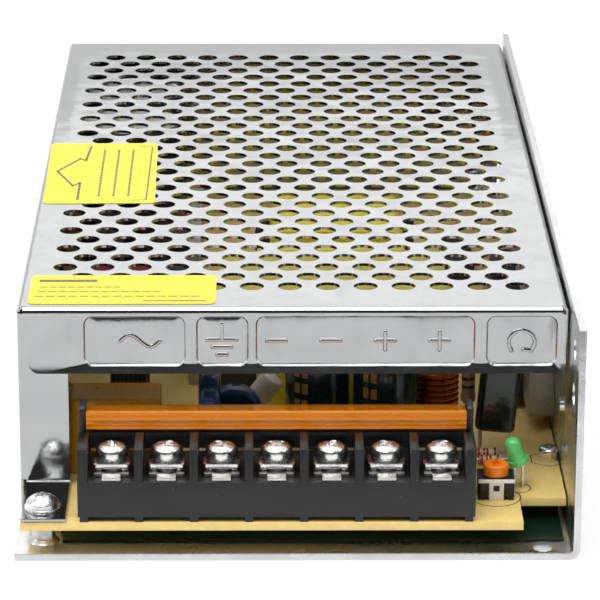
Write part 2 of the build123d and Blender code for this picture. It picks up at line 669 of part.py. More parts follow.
with BuildPart() as terminal_cover:
    with BuildSketch(Plane.YZ.offset(flap_left)):
        with BuildLine():
            Polyline(
                (flap_front_y, flap_top_z - FLAP_FRONT),
                (flap_front_y, flap_top_z),
                (flap_front_y + leaf_y, flap_top_z - leaf_z),
                (flap_front_y + leaf_y, flap_top_z - leaf_z - FLAP),
                (flap_front_y + FLAP, flap_top_z - FLAP - leaf_z * FLAP / leaf_y),
                (flap_front_y + FLAP, flap_top_z - FLAP_FRONT),
                close=True,
            )
        make_face()
    extrude(amount=flap_right - flap_left)
    rear_corners = terminal_cover.edges().filter_by(Axis.Z).group_by(Axis.Y)[-1]
    chamfer(rear_corners, FLAP_CORNER_CUT)
    # Grip ribs on the short leaf
    with BuildSketch(Plane.XZ.offset(-flap_front_y)):
        for share in RIB_HEIGHTS:
            with Locations(((flap_left + flap_right) / 2, flap_top_z - FLAP_FRONT * share)):
                Rectangle(flap_right - flap_left - 2 * RIB_MARGIN, RIB_WIDTH)
    extrude(amount=RIB)
    # Web and pin at each end
    for end_x, inward in ((flap_left, 1), (flap_right, -1)):
        with BuildSketch(Plane.YZ.offset(end_x)):
            with Locations((PIN_Y, PIN_Z)):
                Circle(WEB_ROUND)
            with Locations((flap_front_y + FLAP / 2, PIN_Z)):
                Rectangle(PIN_Y - flap_front_y - FLAP / 2, 2 * PIN_RADIUS, align=(Align.MIN, Align.CENTER))
        extrude(amount=inward * WEB)
        with BuildSketch(Plane.YZ.offset(end_x)):
            with Locations((PIN_Y, PIN_Z)):
                Circle(PIN_RADIUS)
        extrude(amount=-inward * pin_reach)
terminal_cover.part.label = "terminal_cover"
export_step(terminal_cover.part, "parts/terminal_cover.step")


# Output trimmer: body, bright yoke and turning knob
TRIMMER_AT = on_board(83.05, 12.3)
TRIMMER_BODY = (6.4, 5.2, 3.5)
TRIMMER_LIFT = 0.5
YOKE = 0.25
YOKE_STRIP = 2.6
YOKE_HOLE = 1.1
KNOB_RADIUS = 2.25
KNOB_HEIGHT = 2.0
KNOB_SHAFT = 0.8
KNOB_SHAFT_LENGTH = 1.4
KNOB_SLOT = (3.2, 0.7)
KNOB_GAP = 0.1
KNOB_ROUND = 0.4
KNOB_SLOT_DEPTH = 0.8
KNOB_TURN = 80
SHAFT_SPARE = 0.2
TRIMMER_PAD = 1.0
TRIMMER_PAD_INSET = 0.6
TRIMMER_CORNER = 0.6
YOKE_TOP = 0.7
YOKE_HOLE_BELOW = 1.7
body_top = BOARD_TOP + TRIMMER_LIFT + TRIMMER_BODY[2]
yoke_y = TRIMMER_AT[1] - TRIMMER_BODY[1] / 2

with BuildPart() as trimmer_body:
    with BuildSketch(Plane.XY.offset(BOARD_TOP)):
        with Locations(TRIMMER_AT):
            pad_x, pad_y = (side - 2 * TRIMMER_PAD_INSET for side in TRIMMER_BODY[:2])
            with GridLocations(pad_x, pad_y, 2, 2):
                Rectangle(TRIMMER_PAD, TRIMMER_PAD)
    extrude(amount=TRIMMER_LIFT)
    with BuildSketch(Plane.XY.offset(BOARD_TOP + TRIMMER_LIFT)):
        with Locations(TRIMMER_AT):
            RectangleRounded(TRIMMER_BODY[0], TRIMMER_BODY[1], TRIMMER_CORNER)
    extrude(amount=TRIMMER_BODY[2])
    with BuildSketch(Plane.XY.offset(body_top)):
        with Locations(TRIMMER_AT):
            Circle(KNOB_SHAFT + THREAD_FIT)
    extrude(amount=-KNOB_SHAFT_LENGTH - SHAFT_SPARE, mode=Mode.SUBTRACT)
trimmer_body.part.label = "trimmer_body"
export_step(trimmer_body.part, "parts/trimmer_body.step")

with BuildPart() as trimmer_yoke:
    with BuildSketch(Plane.XZ.offset(-yoke_y)):
        with Locations((TRIMMER_AT[0], body_top)):
            Rectangle(TRIMMER_BODY[0], YOKE_TOP, align=(Align.CENTER, Align.MAX))
            Rectangle(YOKE_STRIP, body_top - BOARD_TOP, align=(Align.CENTER, Align.MAX))
        with Locations((TRIMMER_AT[0], body_top - YOKE_HOLE_BELOW)):
            Rectangle(YOKE_HOLE, YOKE_HOLE, mode=Mode.SUBTRACT)
    extrude(amount=YOKE)
trimmer_yoke.part.label = "trimmer_yoke"
export_step(trimmer_yoke.part, "parts/trimmer_yoke.step")

with BuildPart() as trimmer_knob:
    with BuildSketch(Plane.XY.offset(body_top + KNOB_GAP)):
        with Locations(TRIMMER_AT):
            Circle(KNOB_RADIUS)
    extrude(amount=KNOB_HEIGHT)
    fillet(trimmer_knob.edges().group_by(Axis.Z)[-1], KNOB_ROUND)
    with BuildSketch(Plane.XY.offset(body_top + KNOB_GAP + KNOB_HEIGHT)):
        with Locations(Location(TRIMMER_AT, KNOB_TURN)):
            Rectangle(*KNOB_SLOT)
            Rectangle(KNOB_SLOT[1], KNOB_SLOT[0] / 2)
    extrude(amount=-KNOB_SLOT_DEPTH, mode=Mode.SUBTRACT)
    with BuildSketch(Plane.XY.offset(body_top + KNOB_GAP)):
        with Locations(TRIMMER_AT):
            Circle(KNOB_SHAFT)
    extrude(amount=-KNOB_SHAFT_LENGTH)
trimmer_knob.part.label = "trimmer_knob"
export_step(trimmer_knob.part, "parts/trimmer_knob.step")


# Voltage selector: switch body against the left side and its sliding actuator
SWITCH_BODY = (6.5, 15.0, 9.5)
SWITCH_GAP = 0.2
ACTUATOR = (4.6, 3.4)
ACTUATOR_FIT = 0.1
ACTUATOR_TRAVEL = 4.0
ACTUATOR_DEPTH = 2.5
ACTUATOR_RECESS = 0.5
ACTUATOR_SLOT = 1.0
ACTUATOR_SLOT_DEPTH = 0.8
switch_face = LEFT + COVER_SHEET + SWITCH_GAP

with BuildPart() as selector_body:
    with BuildSketch(Plane.XY.offset(BOARD_TOP)):
        with Locations((switch_face, SELECTOR_Y)):
            Rectangle(SWITCH_BODY[0], SWITCH_BODY[1], align=(Align.MIN, Align.CENTER))
    extrude(amount=SWITCH_BODY[2])
    with BuildSketch(Plane.YZ.offset(switch_face)):
        with Locations((SELECTOR_Y, SELECTOR_Z)):
            Rectangle(ACTUATOR[0] + ACTUATOR_TRAVEL + 2 * ACTUATOR_FIT, ACTUATOR[1] + 2 * ACTUATOR_FIT)
    extrude(amount=ACTUATOR_DEPTH + ACTUATOR_FIT, mode=Mode.SUBTRACT)
selector_body.part.label = "selector_body"
export_step(selector_body.part, "parts/selector_body.step")

with BuildPart() as selector_slider:
    with BuildSketch(Plane.YZ.offset(switch_face + ACTUATOR_DEPTH)):
        with Locations((SELECTOR_Y - ACTUATOR_TRAVEL / 2, SELECTOR_Z)):
            Rectangle(*ACTUATOR)
    extrude(amount=-(ACTUATOR_DEPTH + SWITCH_GAP + COVER_SHEET - ACTUATOR_RECESS))
    with BuildSketch(Plane.YZ.offset(LEFT + ACTUATOR_RECESS)):
        with Locations((SELECTOR_Y - ACTUATOR_TRAVEL / 2, SELECTOR_Z)):
            Rectangle(ACTUATOR_SLOT, ACTUATOR[1])
    extrude(amount=ACTUATOR_SLOT_DEPTH, mode=Mode.SUBTRACT)
selector_slider.part.label = "selector_slider"
export_step(selector_slider.part, "parts/selector_slider.step")


# Boxed parts that stand flat on the board: place, size and rounding of the upper edges
def boxed(place, size, round_top):
    with BuildPart() as box:
        with BuildSketch(Plane.XY.offset(BOARD_TOP)):
            with Locations(place):
                Rectangle(size[0], size[1])
        extrude(amount=size[2])
        if round_top:
            fillet(box.edges().group_by(Axis.Z)[-1], round_top)
    return box.part


x_capacitor = boxed(on_board(15.65, 26.8), (16.3, 9.0, 14.3), 0.6)
x_capacitor.label = "x_capacitor"
export_step(x_capacitor, "parts/x_capacitor.step")

bridge_rectifier = boxed(on_board(11.0, 120.0), (4.6, 20.0, 15.0), 0)
bridge_rectifier.label = "bridge_rectifier"
export_step(bridge_rectifier, "parts/bridge_rectifier.step")

control_chip = boxed(on_board(83.0, 140.0), (6.4, 19.3, 3.6), 0.4)
control_chip.label = "control_chip"
export_step(control_chip, "parts/control_chip.step")


# Upright electrolytic capacitors with the rolled groove near the bottom
GROOVE = 0.5
GROOVE_HEIGHT = 2.7
CRIMP = 0.6


def can(place, radius, height):
    """One can, turned about its own upright axis."""
    x, y = place
    with BuildPart() as body:
        with BuildSketch(Plane.XZ.offset(-y)):
            with BuildLine():
                Polyline(
                    (x, BOARD_TOP),
                    (x + radius, BOARD_TOP),
                    (x + radius, BOARD_TOP + GROOVE_HEIGHT - GROOVE),
                    (x + radius - GROOVE, BOARD_TOP + GROOVE_HEIGHT),
                    (x + radius, BOARD_TOP + GROOVE_HEIGHT + GROOVE),
                    (x + radius, BOARD_TOP + height - CRIMP),
                    (x + radius - CRIMP, BOARD_TOP + height),
                    (x, BOARD_TOP + height),
                    close=True,
                )
            make_face()
        revolve(axis=Axis((x, y, 0), (0, 0, 1)))
    return body.part


OUTPUT_CAN = (5.9, 21.0)
BULK_CAN = (11.0, 30.0)
OUTPUT_CAN_AT = [on_board(52.0, 39.6), on_board(64.4, 36.8)]
BULK_CAN_AT = [on_board(14.5, 147.0), on_board(14.5, 171.0)]

output_cans = [can(place, *OUTPUT_CAN) for place in OUTPUT_CAN_AT]
bulk_cans = [can(place, *BULK_CAN) for place in BULK_CAN_AT]

with BuildPart() as output_capacitors:
    add(output_cans)
output_capacitors.part.label = "output_capacitors"
export_step(output_capacitors.part, "parts/output_capacitors.step")

with BuildPart() as bulk_capacitors:
    add(bulk_cans)
bulk_capacitors.part.label = "bulk_capacitors"
export_step(bulk_capacitors.part, "parts/bulk_capacitors.step")


# Blue disc capacitors: one seen on its face and one on its edge
FACE_DISC_AT = on_board(37.1, 32.6)
EDGE_DISC_AT = on_board(32.6, 24.8)
DISC_RADIUS = 4.8
DISC_THICKNESS = 4.0
DISC_ROUND = 1.4
FACE_DISC_LIFT = 3.6
EDGE_DISC_LIFT = 9.3
DISC_LEADS = 5.0
LEAD_ENTRY = 0.45
face_disc_z = BOARD_TOP + FACE_DISC_LIFT + DISC_RADIUS
edge_disc_z = BOARD_TOP + EDGE_DISC_LIFT + DISC_RADIUS

with BuildPart() as disc_capacitors:
    with BuildSketch(Plane.XZ.offset(-(FACE_DISC_AT[1] - DISC_THICKNESS / 2))):
        with Locations((FACE_DISC_AT[0], face_disc_z)):
            Circle(DISC_RADIUS)
    extrude(amount=-DISC_THICKNESS)
    with BuildSketch(Plane.YZ.offset(EDGE_DISC_AT[0] - DISC_THICKNESS / 2)):
        with Locations((EDGE_DISC_AT[1], edge_disc_z)):
            Circle(DISC_RADIUS)
    extrude(amount=DISC_THICKNESS)
    fillet(disc_capacitors.edges().filter_by(GeomType.CIRCLE), DISC_ROUND)
disc_capacitors.part.label = "disc_capacitors"
export_step(disc_capacitors.part, "parts/disc_capacitors.step")


# Rod choke in a white sleeve, leaning to the right
ROD_AT = on_board(39.8, 37.3)
ROD_LEAN = 37.0
ROD_RADIUS = 2.2
ROD_LENGTH = 12.0
ROD_LIFT = 3.4
ROD_ROUND = 0.5
rod_plane = Plane(
    (ROD_AT[0] - ROD_LENGTH * 0.25, ROD_AT[1], BOARD_TOP + ROD_LIFT),
    x_dir=(cos(radians(ROD_LEAN)), 0, -sin(radians(ROD_LEAN))),
    z_dir=(sin(radians(ROD_LEAN)), 0, cos(radians(ROD_LEAN))),
)

with BuildPart() as rod_choke:
    with BuildSketch(rod_plane):
        Circle(ROD_RADIUS)
    extrude(amount=ROD_LENGTH)
    fillet(rod_choke.edges().filter_by(GeomType.CIRCLE), ROD_ROUND)
rod_choke.part.label = "rod_choke"
export_step(rod_choke.part, "parts/rod_choke.step")


# Output inductor: copper coil standing on its ferrite drum
COIL_AT = on_board(73.8, 44.0)
COIL_RADIUS = 4.4
COIL_HEIGHT = 12.0
DRUM_RADIUS = 2.6
DRUM_FLANGE = 1.4

with BuildPart() as inductor_drum:
    with BuildSketch(Plane.XY.offset(BOARD_TOP)):
        with Locations(COIL_AT):
            Circle(COIL_RADIUS)
    extrude(amount=DRUM_FLANGE)
    with BuildSketch(Plane.XY.offset(BOARD_TOP + DRUM_FLANGE)):
        with Locations(COIL_AT):
            Circle(DRUM_RADIUS)
    extrude(amount=COIL_HEIGHT)
inductor_drum.part.label = "inductor_drum"
export_step(inductor_drum.part, "parts/inductor_drum.step")

with BuildPart() as inductor_coil:
    with BuildSketch(Plane.XY.offset(BOARD_TOP + DRUM_FLANGE)):
        with Locations(COIL_AT):
            Circle(COIL_RADIUS)
            Circle(DRUM_RADIUS, mode=Mode.SUBTRACT)
    extrude(amount=COIL_HEIGHT)
inductor_coil.part.label = "inductor_coil"
export_step(inductor_coil.part, "parts/inductor_coil.step")


# Dipped film capacitor leaning right on its leads
FILM_AT = on_board(83.7, 27.8)
FILM_LEAN = 5.0
FILM_SIZE = (7.1, 4.2, 14.4)
FILM_CORNER = 1.2
FILM_ROUND = 0.9
FILM_LIFT = 6.4
FILM_LEADS = 5.0
FILM_LEAD_GAP = 0.25
film_plane = Plane(
    (FILM_AT[0], FILM_AT[1], BOARD_TOP + FILM_LIFT),
    x_dir=(cos(radians(FILM_LEAN)), 0, -sin(radians(FILM_LEAN))),
    z_dir=(sin(radians(FILM_LEAN)), 0, cos(radians(FILM_LEAN))),
)

with BuildPart() as film_capacitor:
    with BuildSketch(film_plane):
        RectangleRounded(FILM_SIZE[0], FILM_SIZE[1], FILM_CORNER)
    extrude(amount=FILM_SIZE[2])
    fillet(film_capacitor.edges().filter_by(Axis.Z, reverse=True), FILM_ROUND)
film_capacitor.part.label = "film_capacitor"
export_step(film_capacitor.part, "parts/film_capacitor.step")


# Indicator lamp leaning left on its leads
LAMP_AT = on_board(87.4, 15.4)
LAMP_LEAN = -20.0
LAMP_RADIUS = 1.5
LAMP_RIM = 1.85
LAMP_RIM_HEIGHT = 0.9
LAMP_BARREL = 3.6
LAMP_LIFT = 4.8
LAMP_LEADS = 1.4
LAMP_LEAD_GAP = 0.3
CROWN_SPARE = 0.05
lamp_plane = Plane(
    (LAMP_AT[0], LAMP_AT[1], BOARD_TOP + LAMP_LIFT),
    x_dir=(cos(radians(LAMP_LEAN)), 0, -sin(radians(LAMP_LEAN))),
    z_dir=(sin(radians(LAMP_LEAN)), 0, cos(radians(LAMP_LEAN))),
)

with BuildPart() as indicator_lamp:
    with BuildSketch(lamp_plane):
        Circle(LAMP_RIM)
    extrude(amount=LAMP_RIM_HEIGHT)
    with BuildSketch(lamp_plane):
        Circle(LAMP_RADIUS)
    extrude(amount=LAMP_BARREL + LAMP_RADIUS)
    crown = indicator_lamp.edges().filter_by(GeomType.CIRCLE).sort_by(Axis.Z)[-1]
    fillet(crown, LAMP_RADIUS - CROWN_SPARE)
indicator_lamp.part.label = "indicator_lamp"
export_step(indicator_lamp.part, "parts/indicator_lamp.step")


# Resistors: a banded power resistor standing up and two small ones lying on the board
POWER_RESISTOR_AT = on_board(79.2, 32.8)
POWER_RESISTOR_LIFT = 9.6
POWER_RESISTOR = (1.35, 8.5)
RESISTOR_ROUND = 0.5
SMALL_RESISTOR = (0.95, 3.9)
SMALL_RESISTOR_LIFT = 2.0
SMALL_RESISTOR_AT = [on_board(82.3, 25.0), on_board(82.6, 21.6)]

with BuildPart() as power_resistor:
    with BuildSketch(Plane.XY.offset(BOARD_TOP + POWER_RESISTOR_LIFT)):
        with Locations(POWER_RESISTOR_AT):
            Circle(POWER_RESISTOR[0])
    extrude(amount=POWER_RESISTOR[1])
    fillet(power_resistor.edges().filter_by(GeomType.CIRCLE), RESISTOR_ROUND)
power_resistor.part.label = "power_resistor"
export_step(power_resistor.part, "parts/power_resistor.step")

with BuildPart() as small_resistors:
    for x, y in SMALL_RESISTOR_AT:
        with BuildSketch(Plane.YZ.offset(x - SMALL_RESISTOR[1] / 2)):
            with Locations((y, BOARD_TOP + SMALL_RESISTOR[0] + SMALL_RESISTOR_LIFT)):
                Circle(SMALL_RESISTOR[0])
        extrude(amount=SMALL_RESISTOR[1])
small_resistors.part.label = "small_resistors"
export_step(small_resistors.part, "parts/small_resistors.step")


# Leads of the parts that stand clear of the board
LEAD_RADIUS = 0.35
LEAD_SIDES = 6
LEAD_RISE = 1.2
LEAD_RETURN = 3.2
LEAD_OVERLAP = 0.3
SMALL_LEAD = 1.2
ROD_LEAD_GAP = 0.1


def lead_between(start, end):
    """Straight round lead between two points."""
    run = Vector(*end) - Vector(*start)
    with BuildPart() as lead:
        with BuildSketch(Plane(start, z_dir=run)):
            RegularPolygon(LEAD_RADIUS, LEAD_SIDES)
        extrude(amount=run.length)
    return lead.part


def leads_below(place, spread, height, across=True):
    """Pair of upright leads from the board up to a part's underside."""
    x, y = place
    sides = (-spread / 2, spread / 2)
    feet = [(x + side, y) if across else (x, y + side) for side in sides]
    return [lead_between((*foot, BOARD_TOP), (*foot, BOARD_TOP + height)) for foot in feet]


power_x, power_y = POWER_RESISTOR_AT
power_base = BOARD_TOP + POWER_RESISTOR_LIFT
power_bend = power_base + POWER_RESISTOR[1] + LEAD_RISE
return_y = power_y + LEAD_RETURN
small_z = BOARD_TOP + SMALL_RESISTOR[0] + SMALL_RESISTOR_LIFT
rod_low = rod_plane.origin

leads = leads_below(FACE_DISC_AT, DISC_LEADS, FACE_DISC_LIFT + LEAD_ENTRY)
leads += leads_below(EDGE_DISC_AT, DISC_LEADS, EDGE_DISC_LIFT + LEAD_ENTRY, across=False)
leads += leads_below(FILM_AT, FILM_LEADS, FILM_LIFT - FILM_LEAD_GAP)
leads += leads_below(LAMP_AT, LAMP_LEADS, LAMP_LIFT - LAMP_LEAD_GAP)
leads.append(lead_between((power_x, power_y, BOARD_TOP), (power_x, power_y, power_base)))
leads.append(lead_between((power_x, power_y, power_bend - LEAD_RISE), (power_x, power_y, power_bend)))
leads.append(lead_between((power_x, return_y, BOARD_TOP), (power_x, return_y, power_bend)))
leads.append(
    lead_between(
        (power_x, power_y - LEAD_OVERLAP, power_bend),
        (power_x, return_y + LEAD_OVERLAP, power_bend),
    )
)
for x, y in SMALL_RESISTOR_AT:
    for side in (-1, 1):
        inner = x + side * SMALL_RESISTOR[1] / 2
        outer = inner + side * SMALL_LEAD
        leads.append(lead_between((inner, y, small_z), (outer + side * LEAD_OVERLAP, y, small_z)))
        leads.append(lead_between((outer, y, BOARD_TOP), (outer, y, small_z)))
rod_lead_top = rod_low.Z - ROD_LEAD_GAP
leads.append(lead_between((rod_low.X, rod_low.Y, BOARD_TOP), (rod_low.X, rod_low.Y, rod_lead_top)))

with BuildPart() as component_leads:
    add(leads)
component_leads.part.label = "component_leads"
export_step(component_leads.part, "parts/component_leads.step")


# Line filter choke: two-legged ferrite core and its taped winding
FILTER_AT = on_board(17.25, 54.8)
FILTER_CORE = (13.5, 18.0, 24.0)
FILTER_LEG = 3.6
FILTER_BOBBIN = (15.0, 10.4)
FILTER_FIT = 0.15
FILTER_BUILD_UP = 5.6
FILTER_ROUND = 1.5

with BuildPart() as line_filter_core:
    with BuildSketch(Plane.YZ.offset(FILTER_AT[0] - FILTER_CORE[0] / 4)):
        with Locations((FILTER_AT[1], BOARD_TOP)):
            Rectangle(FILTER_CORE[1], FILTER_CORE[2], align=(Align.CENTER, Align.MIN))
        with Locations((FILTER_AT[1], BOARD_TOP + FILTER_LEG)):
            Rectangle(
                FILTER_CORE[1] - 2 * FILTER_LEG,
                FILTER_CORE[2] - 2 * FILTER_LEG,
                align=(Align.CENTER, Align.MIN),
                mode=Mode.SUBTRACT,
            )
    extrude(amount=FILTER_CORE[0] / 2)
line_filter_core.part.label = "line_filter_core"
export_step(line_filter_core.part, "parts/line_filter_core.step")

with BuildPart() as line_filter_winding:
    with BuildSketch(Plane.XZ.offset(-(FILTER_AT[1] - FILTER_BOBBIN[1] / 2))):
        with Locations((FILTER_AT[0], BOARD_TOP + FILTER_CORE[2] - FILTER_LEG / 2)):
            RectangleRounded(FILTER_BOBBIN[0], FILTER_LEG + FILTER_BUILD_UP, FILTER_ROUND)
            Rectangle(FILTER_CORE[0] / 2 + 2 * FILTER_FIT, FILTER_LEG + 2 * FILTER_FIT, mode=Mode.SUBTRACT)
    extrude(amount=-FILTER_BOBBIN[1])
line_filter_winding.part.label = "line_filter_winding"
export_step(line_filter_winding.part, "parts/line_filter_winding.step")


# Mains fuse in its two clips
FUSE_AT = on_board(4.6, 44.5)
FUSE = (2.5, 20.0)
FUSE_CAP = 5.5
FUSE_LIFT = 1.2
CLIP_WIDTH = 6.2
CLIP_GRIP = 3.75
fuse_z = BOARD_TOP + FUSE_LIFT + FUSE[0]

with BuildPart() as fuse:
    with BuildSketch(Plane.XZ.offset(-(FUSE_AT[1] - FUSE[1] / 2))):
        with Locations((FUSE_AT[0], fuse_z)):
            Circle(FUSE[0])
    extrude(amount=-FUSE[1])
fuse.part.label = "fuse"
export_step(fuse.part, "parts/fuse.step")

with BuildPart() as fuse_clips:
    for end in (-1, 1):
        clip_y = FUSE_AT[1] + end * (FUSE[1] / 2 - FUSE_CAP / 2)
        with BuildSketch(Plane.XZ.offset(-(clip_y - FUSE_CAP / 2))):
            with Locations((FUSE_AT[0], BOARD_TOP)):
                Rectangle(CLIP_WIDTH, FUSE_LIFT + CLIP_GRIP, align=(Align.CENTER, Align.MIN))
            with Locations((FUSE_AT[0], fuse_z)):
                Circle(FUSE[0], mode=Mode.SUBTRACT)
                Rectangle(2 * FUSE[0], FUSE[0] * 2, align=(Align.CENTER, Align.MIN), mode=Mode.SUBTRACT)
        extrude(amount=-FUSE_CAP)
fuse_clips.part.label = "fuse_clips"
export_step(fuse_clips.part, "parts/fuse_clips.step")


# Heat sink plate for the switching transistors
SINK_AT = on_board(29.0, 90.0)
SINK = (2.4, 44.0, 26.0)
SINK_FOOT = 5.0
TRANSISTOR = (4.5, 10.2, 15.5)
TRANSISTOR_LIFT = 4.0
TRANSISTOR_SPACING = 20.0

with BuildPart() as heat_sink:
    with BuildSketch(Plane.XY.offset(BOARD_TOP)):
        with Locations(SINK_AT):
            Rectangle(SINK[0], SINK[1])
            Rectangle(SINK[0] / 2 + SINK_FOOT, SINK[1], align=(Align.MIN, Align.CENTER))
    extrude(amount=SINK[0])
    with BuildSketch(Plane.XY.offset(BOARD_TOP)):
        with Locations(SINK_AT):
            Rectangle(SINK[0], SINK[1])
    extrude(amount=SINK[2])
heat_sink.part.label = "heat_sink"
export_step(heat_sink.part, "parts/heat_sink.step")

with BuildPart() as power_transistors:
    with BuildSketch(Plane.XY.offset(BOARD_TOP + TRANSISTOR_LIFT)):
        with Locations((SINK_AT[0] - SINK[0] / 2 - TRANSISTOR[0] / 2, SINK_AT[1])):
            with GridLocations(1, TRANSISTOR_SPACING, 1, 2):
                Rectangle(TRANSISTOR[0], TRANSISTOR[1])
    extrude(amount=TRANSISTOR[2])
power_transistors.part.label = "power_transistors"
export_step(power_transistors.part, "parts/power_transistors.step")


# Main transformer: ferrite frame standing on its bobbin, coil on the middle leg, tape round the frame
TRANSFORMER_AT = on_board(55.2, 65.3)
TRANSFORMER_CORE = (42.0, 25.0, 20.0)
TRANSFORMER_LEG = 6.5
MIDDLE_LEG = 11.0
TRANSFORMER_LIFT = 3.9
BOBBIN_FLOOR = 1.6
COIL_BULGE = 4.5
WINDING_FIT = 0.15
TAPE = 0.25
TAPE_INSET = 0.6
COIL_CORNER = 4.0
BOBBIN_FLANGE = 2.0
BOBBIN_OVERHANG = 0.8
BOBBIN_CORNER = 1.0
core_bottom = BOARD_TOP + TRANSFORMER_LIFT
core_top = core_bottom + TRANSFORMER_CORE[2]
transformer_front = TRANSFORMER_AT[1] - TRANSFORMER_CORE[1] / 2

with BuildPart() as transformer_core:
    with BuildSketch(Plane.XZ.offset(-transformer_front)):
        with Locations((TRANSFORMER_AT[0], core_bottom)):
            Rectangle(TRANSFORMER_CORE[0], TRANSFORMER_CORE[2], align=(Align.CENTER, Align.MIN))
        with Locations((TRANSFORMER_AT[0], (core_bottom + core_top) / 2)):
            Rectangle(
                TRANSFORMER_CORE[0] - 2 * TRANSFORMER_LEG,
                TRANSFORMER_CORE[2] - 2 * TRANSFORMER_LEG,
                mode=Mode.SUBTRACT,
            )
            Rectangle(MIDDLE_LEG, TRANSFORMER_CORE[2])
    extrude(amount=-TRANSFORMER_CORE[1])
transformer_core.part.label = "transformer_core"
export_step(transformer_core.part, "parts/transformer_core.step")

coil_width = TRANSFORMER_CORE[0] - 2 * TRANSFORMER_LEG - 2 * WINDING_FIT
coil_height = TRANSFORMER_CORE[2] - 2 * TRANSFORMER_LEG - 2 * WINDING_FIT
coil_bottom = core_bottom + TRANSFORMER_LEG + WINDING_FIT

with BuildPart() as transformer_winding:
    with BuildSketch(Plane.XY.offset(coil_bottom)):
        with Locations(TRANSFORMER_AT):
            RectangleRounded(coil_width, TRANSFORMER_CORE[1] + 2 * COIL_BULGE, COIL_CORNER)
            Rectangle(
                MIDDLE_LEG + 2 * WINDING_FIT,
                TRANSFORMER_CORE[1] + 2 * WINDING_FIT,
                mode=Mode.SUBTRACT,
            )
    extrude(amount=coil_height)
    # Coil ends reach further up and down outside the frame
    with BuildSketch(Plane.XY.offset(BOARD_TOP + BOBBIN_FLOOR)):
        with Locations(TRANSFORMER_AT):
            RectangleRounded(coil_width, TRANSFORMER_CORE[1] + 2 * COIL_BULGE, COIL_CORNER)
            Rectangle(coil_width, TRANSFORMER_CORE[1] + 2 * WINDING_FIT, mode=Mode.SUBTRACT)
    extrude(amount=core_top - BOARD_TOP - BOBBIN_FLOOR)
transformer_winding.part.label = "transformer_winding"
export_step(transformer_winding.part, "parts/transformer_winding.step")

with BuildPart() as transformer_bobbin:
    with BuildSketch(Plane.XY.offset(BOARD_TOP)):
        with Locations(TRANSFORMER_AT):
            RectangleRounded(
                coil_width + 2 * BOBBIN_FLANGE,
                TRANSFORMER_CORE[1] + 2 * (COIL_BULGE + BOBBIN_OVERHANG),
                BOBBIN_CORNER,
            )
    extrude(amount=BOBBIN_FLOOR)
    with BuildSketch(Plane.XY.offset(BOARD_TOP)):
        with Locations(TRANSFORMER_AT):
            Rectangle(coil_width - BOBBIN_FLANGE, TRANSFORMER_CORE[1])
    extrude(amount=TRANSFORMER_LIFT)
transformer_bobbin.part.label = "transformer_bobbin"
export_step(transformer_bobbin.part, "parts/transformer_bobbin.step")

with BuildPart() as transformer_tape:
    with BuildSketch(Plane.XZ.offset(-(transformer_front + TAPE_INSET))):
        with Locations((TRANSFORMER_AT[0], core_top + TAPE)):
            Rectangle(
                TRANSFORMER_CORE[0] + 2 * TAPE,
                TRANSFORMER_CORE[2] + TAPE,
                align=(Align.CENTER, Align.MAX),
            )
        with Locations((TRANSFORMER_AT[0], core_top)):
            Rectangle(
                TRANSFORMER_CORE[0],
                TRANSFORMER_CORE[2] + TAPE,
                align=(Align.CENTER, Align.MAX),
                mode=Mode.SUBTRACT,
            )
    extrude(amount=-(TRANSFORMER_CORE[1] - 2 * TAPE_INSET))
transformer_tape.part.label = "transformer_tape"
export_step(transformer_tape.part, "parts/transformer_tape.step")


# Output choke: ferrite core lying on the board with its taped coil
CHOKE_AT = on_board(56.6, 100.8)
CHOKE_COIL = (26.2, 26.0, 24.6)
CHOKE_CORE = (12.0, 34.0, 12.0)
CHOKE_YOKE = 3.6
CHOKE_ROUND = 3.0
CHOKE_SIDES = 3.0
choke_middle = BOARD_TOP + CHOKE_COIL[2] / 2

with BuildPart() as choke_core:
    with BuildSketch(Plane.XY.offset(choke_middle - CHOKE_CORE[2] / 2)):
        with Locations(CHOKE_AT):
            Rectangle(CHOKE_CORE[0], CHOKE_CORE[1])
            with GridLocations(1, CHOKE_CORE[1] - CHOKE_YOKE, 1, 2):
                Rectangle(CHOKE_COIL[0] + 2 * CHOKE_SIDES, CHOKE_YOKE)
    extrude(amount=CHOKE_CORE[2])
choke_core.part.label = "choke_core"
export_step(choke_core.part, "parts/choke_core.step")

with BuildPart() as choke_winding:
    with BuildSketch(Plane.XZ.offset(-(CHOKE_AT[1] - CHOKE_COIL[1] / 2))):
        with Locations((CHOKE_AT[0], choke_middle)):
            RectangleRounded(CHOKE_COIL[0], CHOKE_COIL[2], CHOKE_ROUND)
            Rectangle(
                CHOKE_CORE[0] + 2 * WINDING_FIT,
                CHOKE_CORE[2] + 2 * WINDING_FIT,
                mode=Mode.SUBTRACT,
            )
    extrude(amount=-CHOKE_COIL[1])
choke_winding.part.label = "choke_winding"
export_step(choke_winding.part, "parts/choke_winding.step")


# Heat spreader bar against the wall, the output rectifiers in front of it and their spring clamp
SPREADER_FRONT = BOARD_FRONT + 42.8
SPREADER = (4.9, 60.0, 16.7)
SPREADER_LIFT = 2.9
RECTIFIER = (4.4, 15.6, 17.0)
RECTIFIER_SPACING = 22.0
CLAMP = 1.2
CLAMP_HEIGHT = 6.0
SPREADER_EDGE = 0.5
spreader_x = WALL_INNER - SPREADER[0]
spreader_middle = SPREADER_FRONT + SPREADER[1] / 2
spreader_z = BOARD_TOP + SPREADER_LIFT + SPREADER[2] / 2

with BuildPart() as heat_spreader:
    with BuildSketch(Plane.YZ.offset(spreader_x)) as bar:
        with Locations((spreader_middle, spreader_z)):
            Rectangle(SPREADER[1], SPREADER[2])
        chamfer(bar.vertices(), SPREADER_EDGE)
    extrude(amount=SPREADER[0])
heat_spreader.part.label = "heat_spreader"
export_step(heat_spreader.part, "parts/heat_spreader.step")

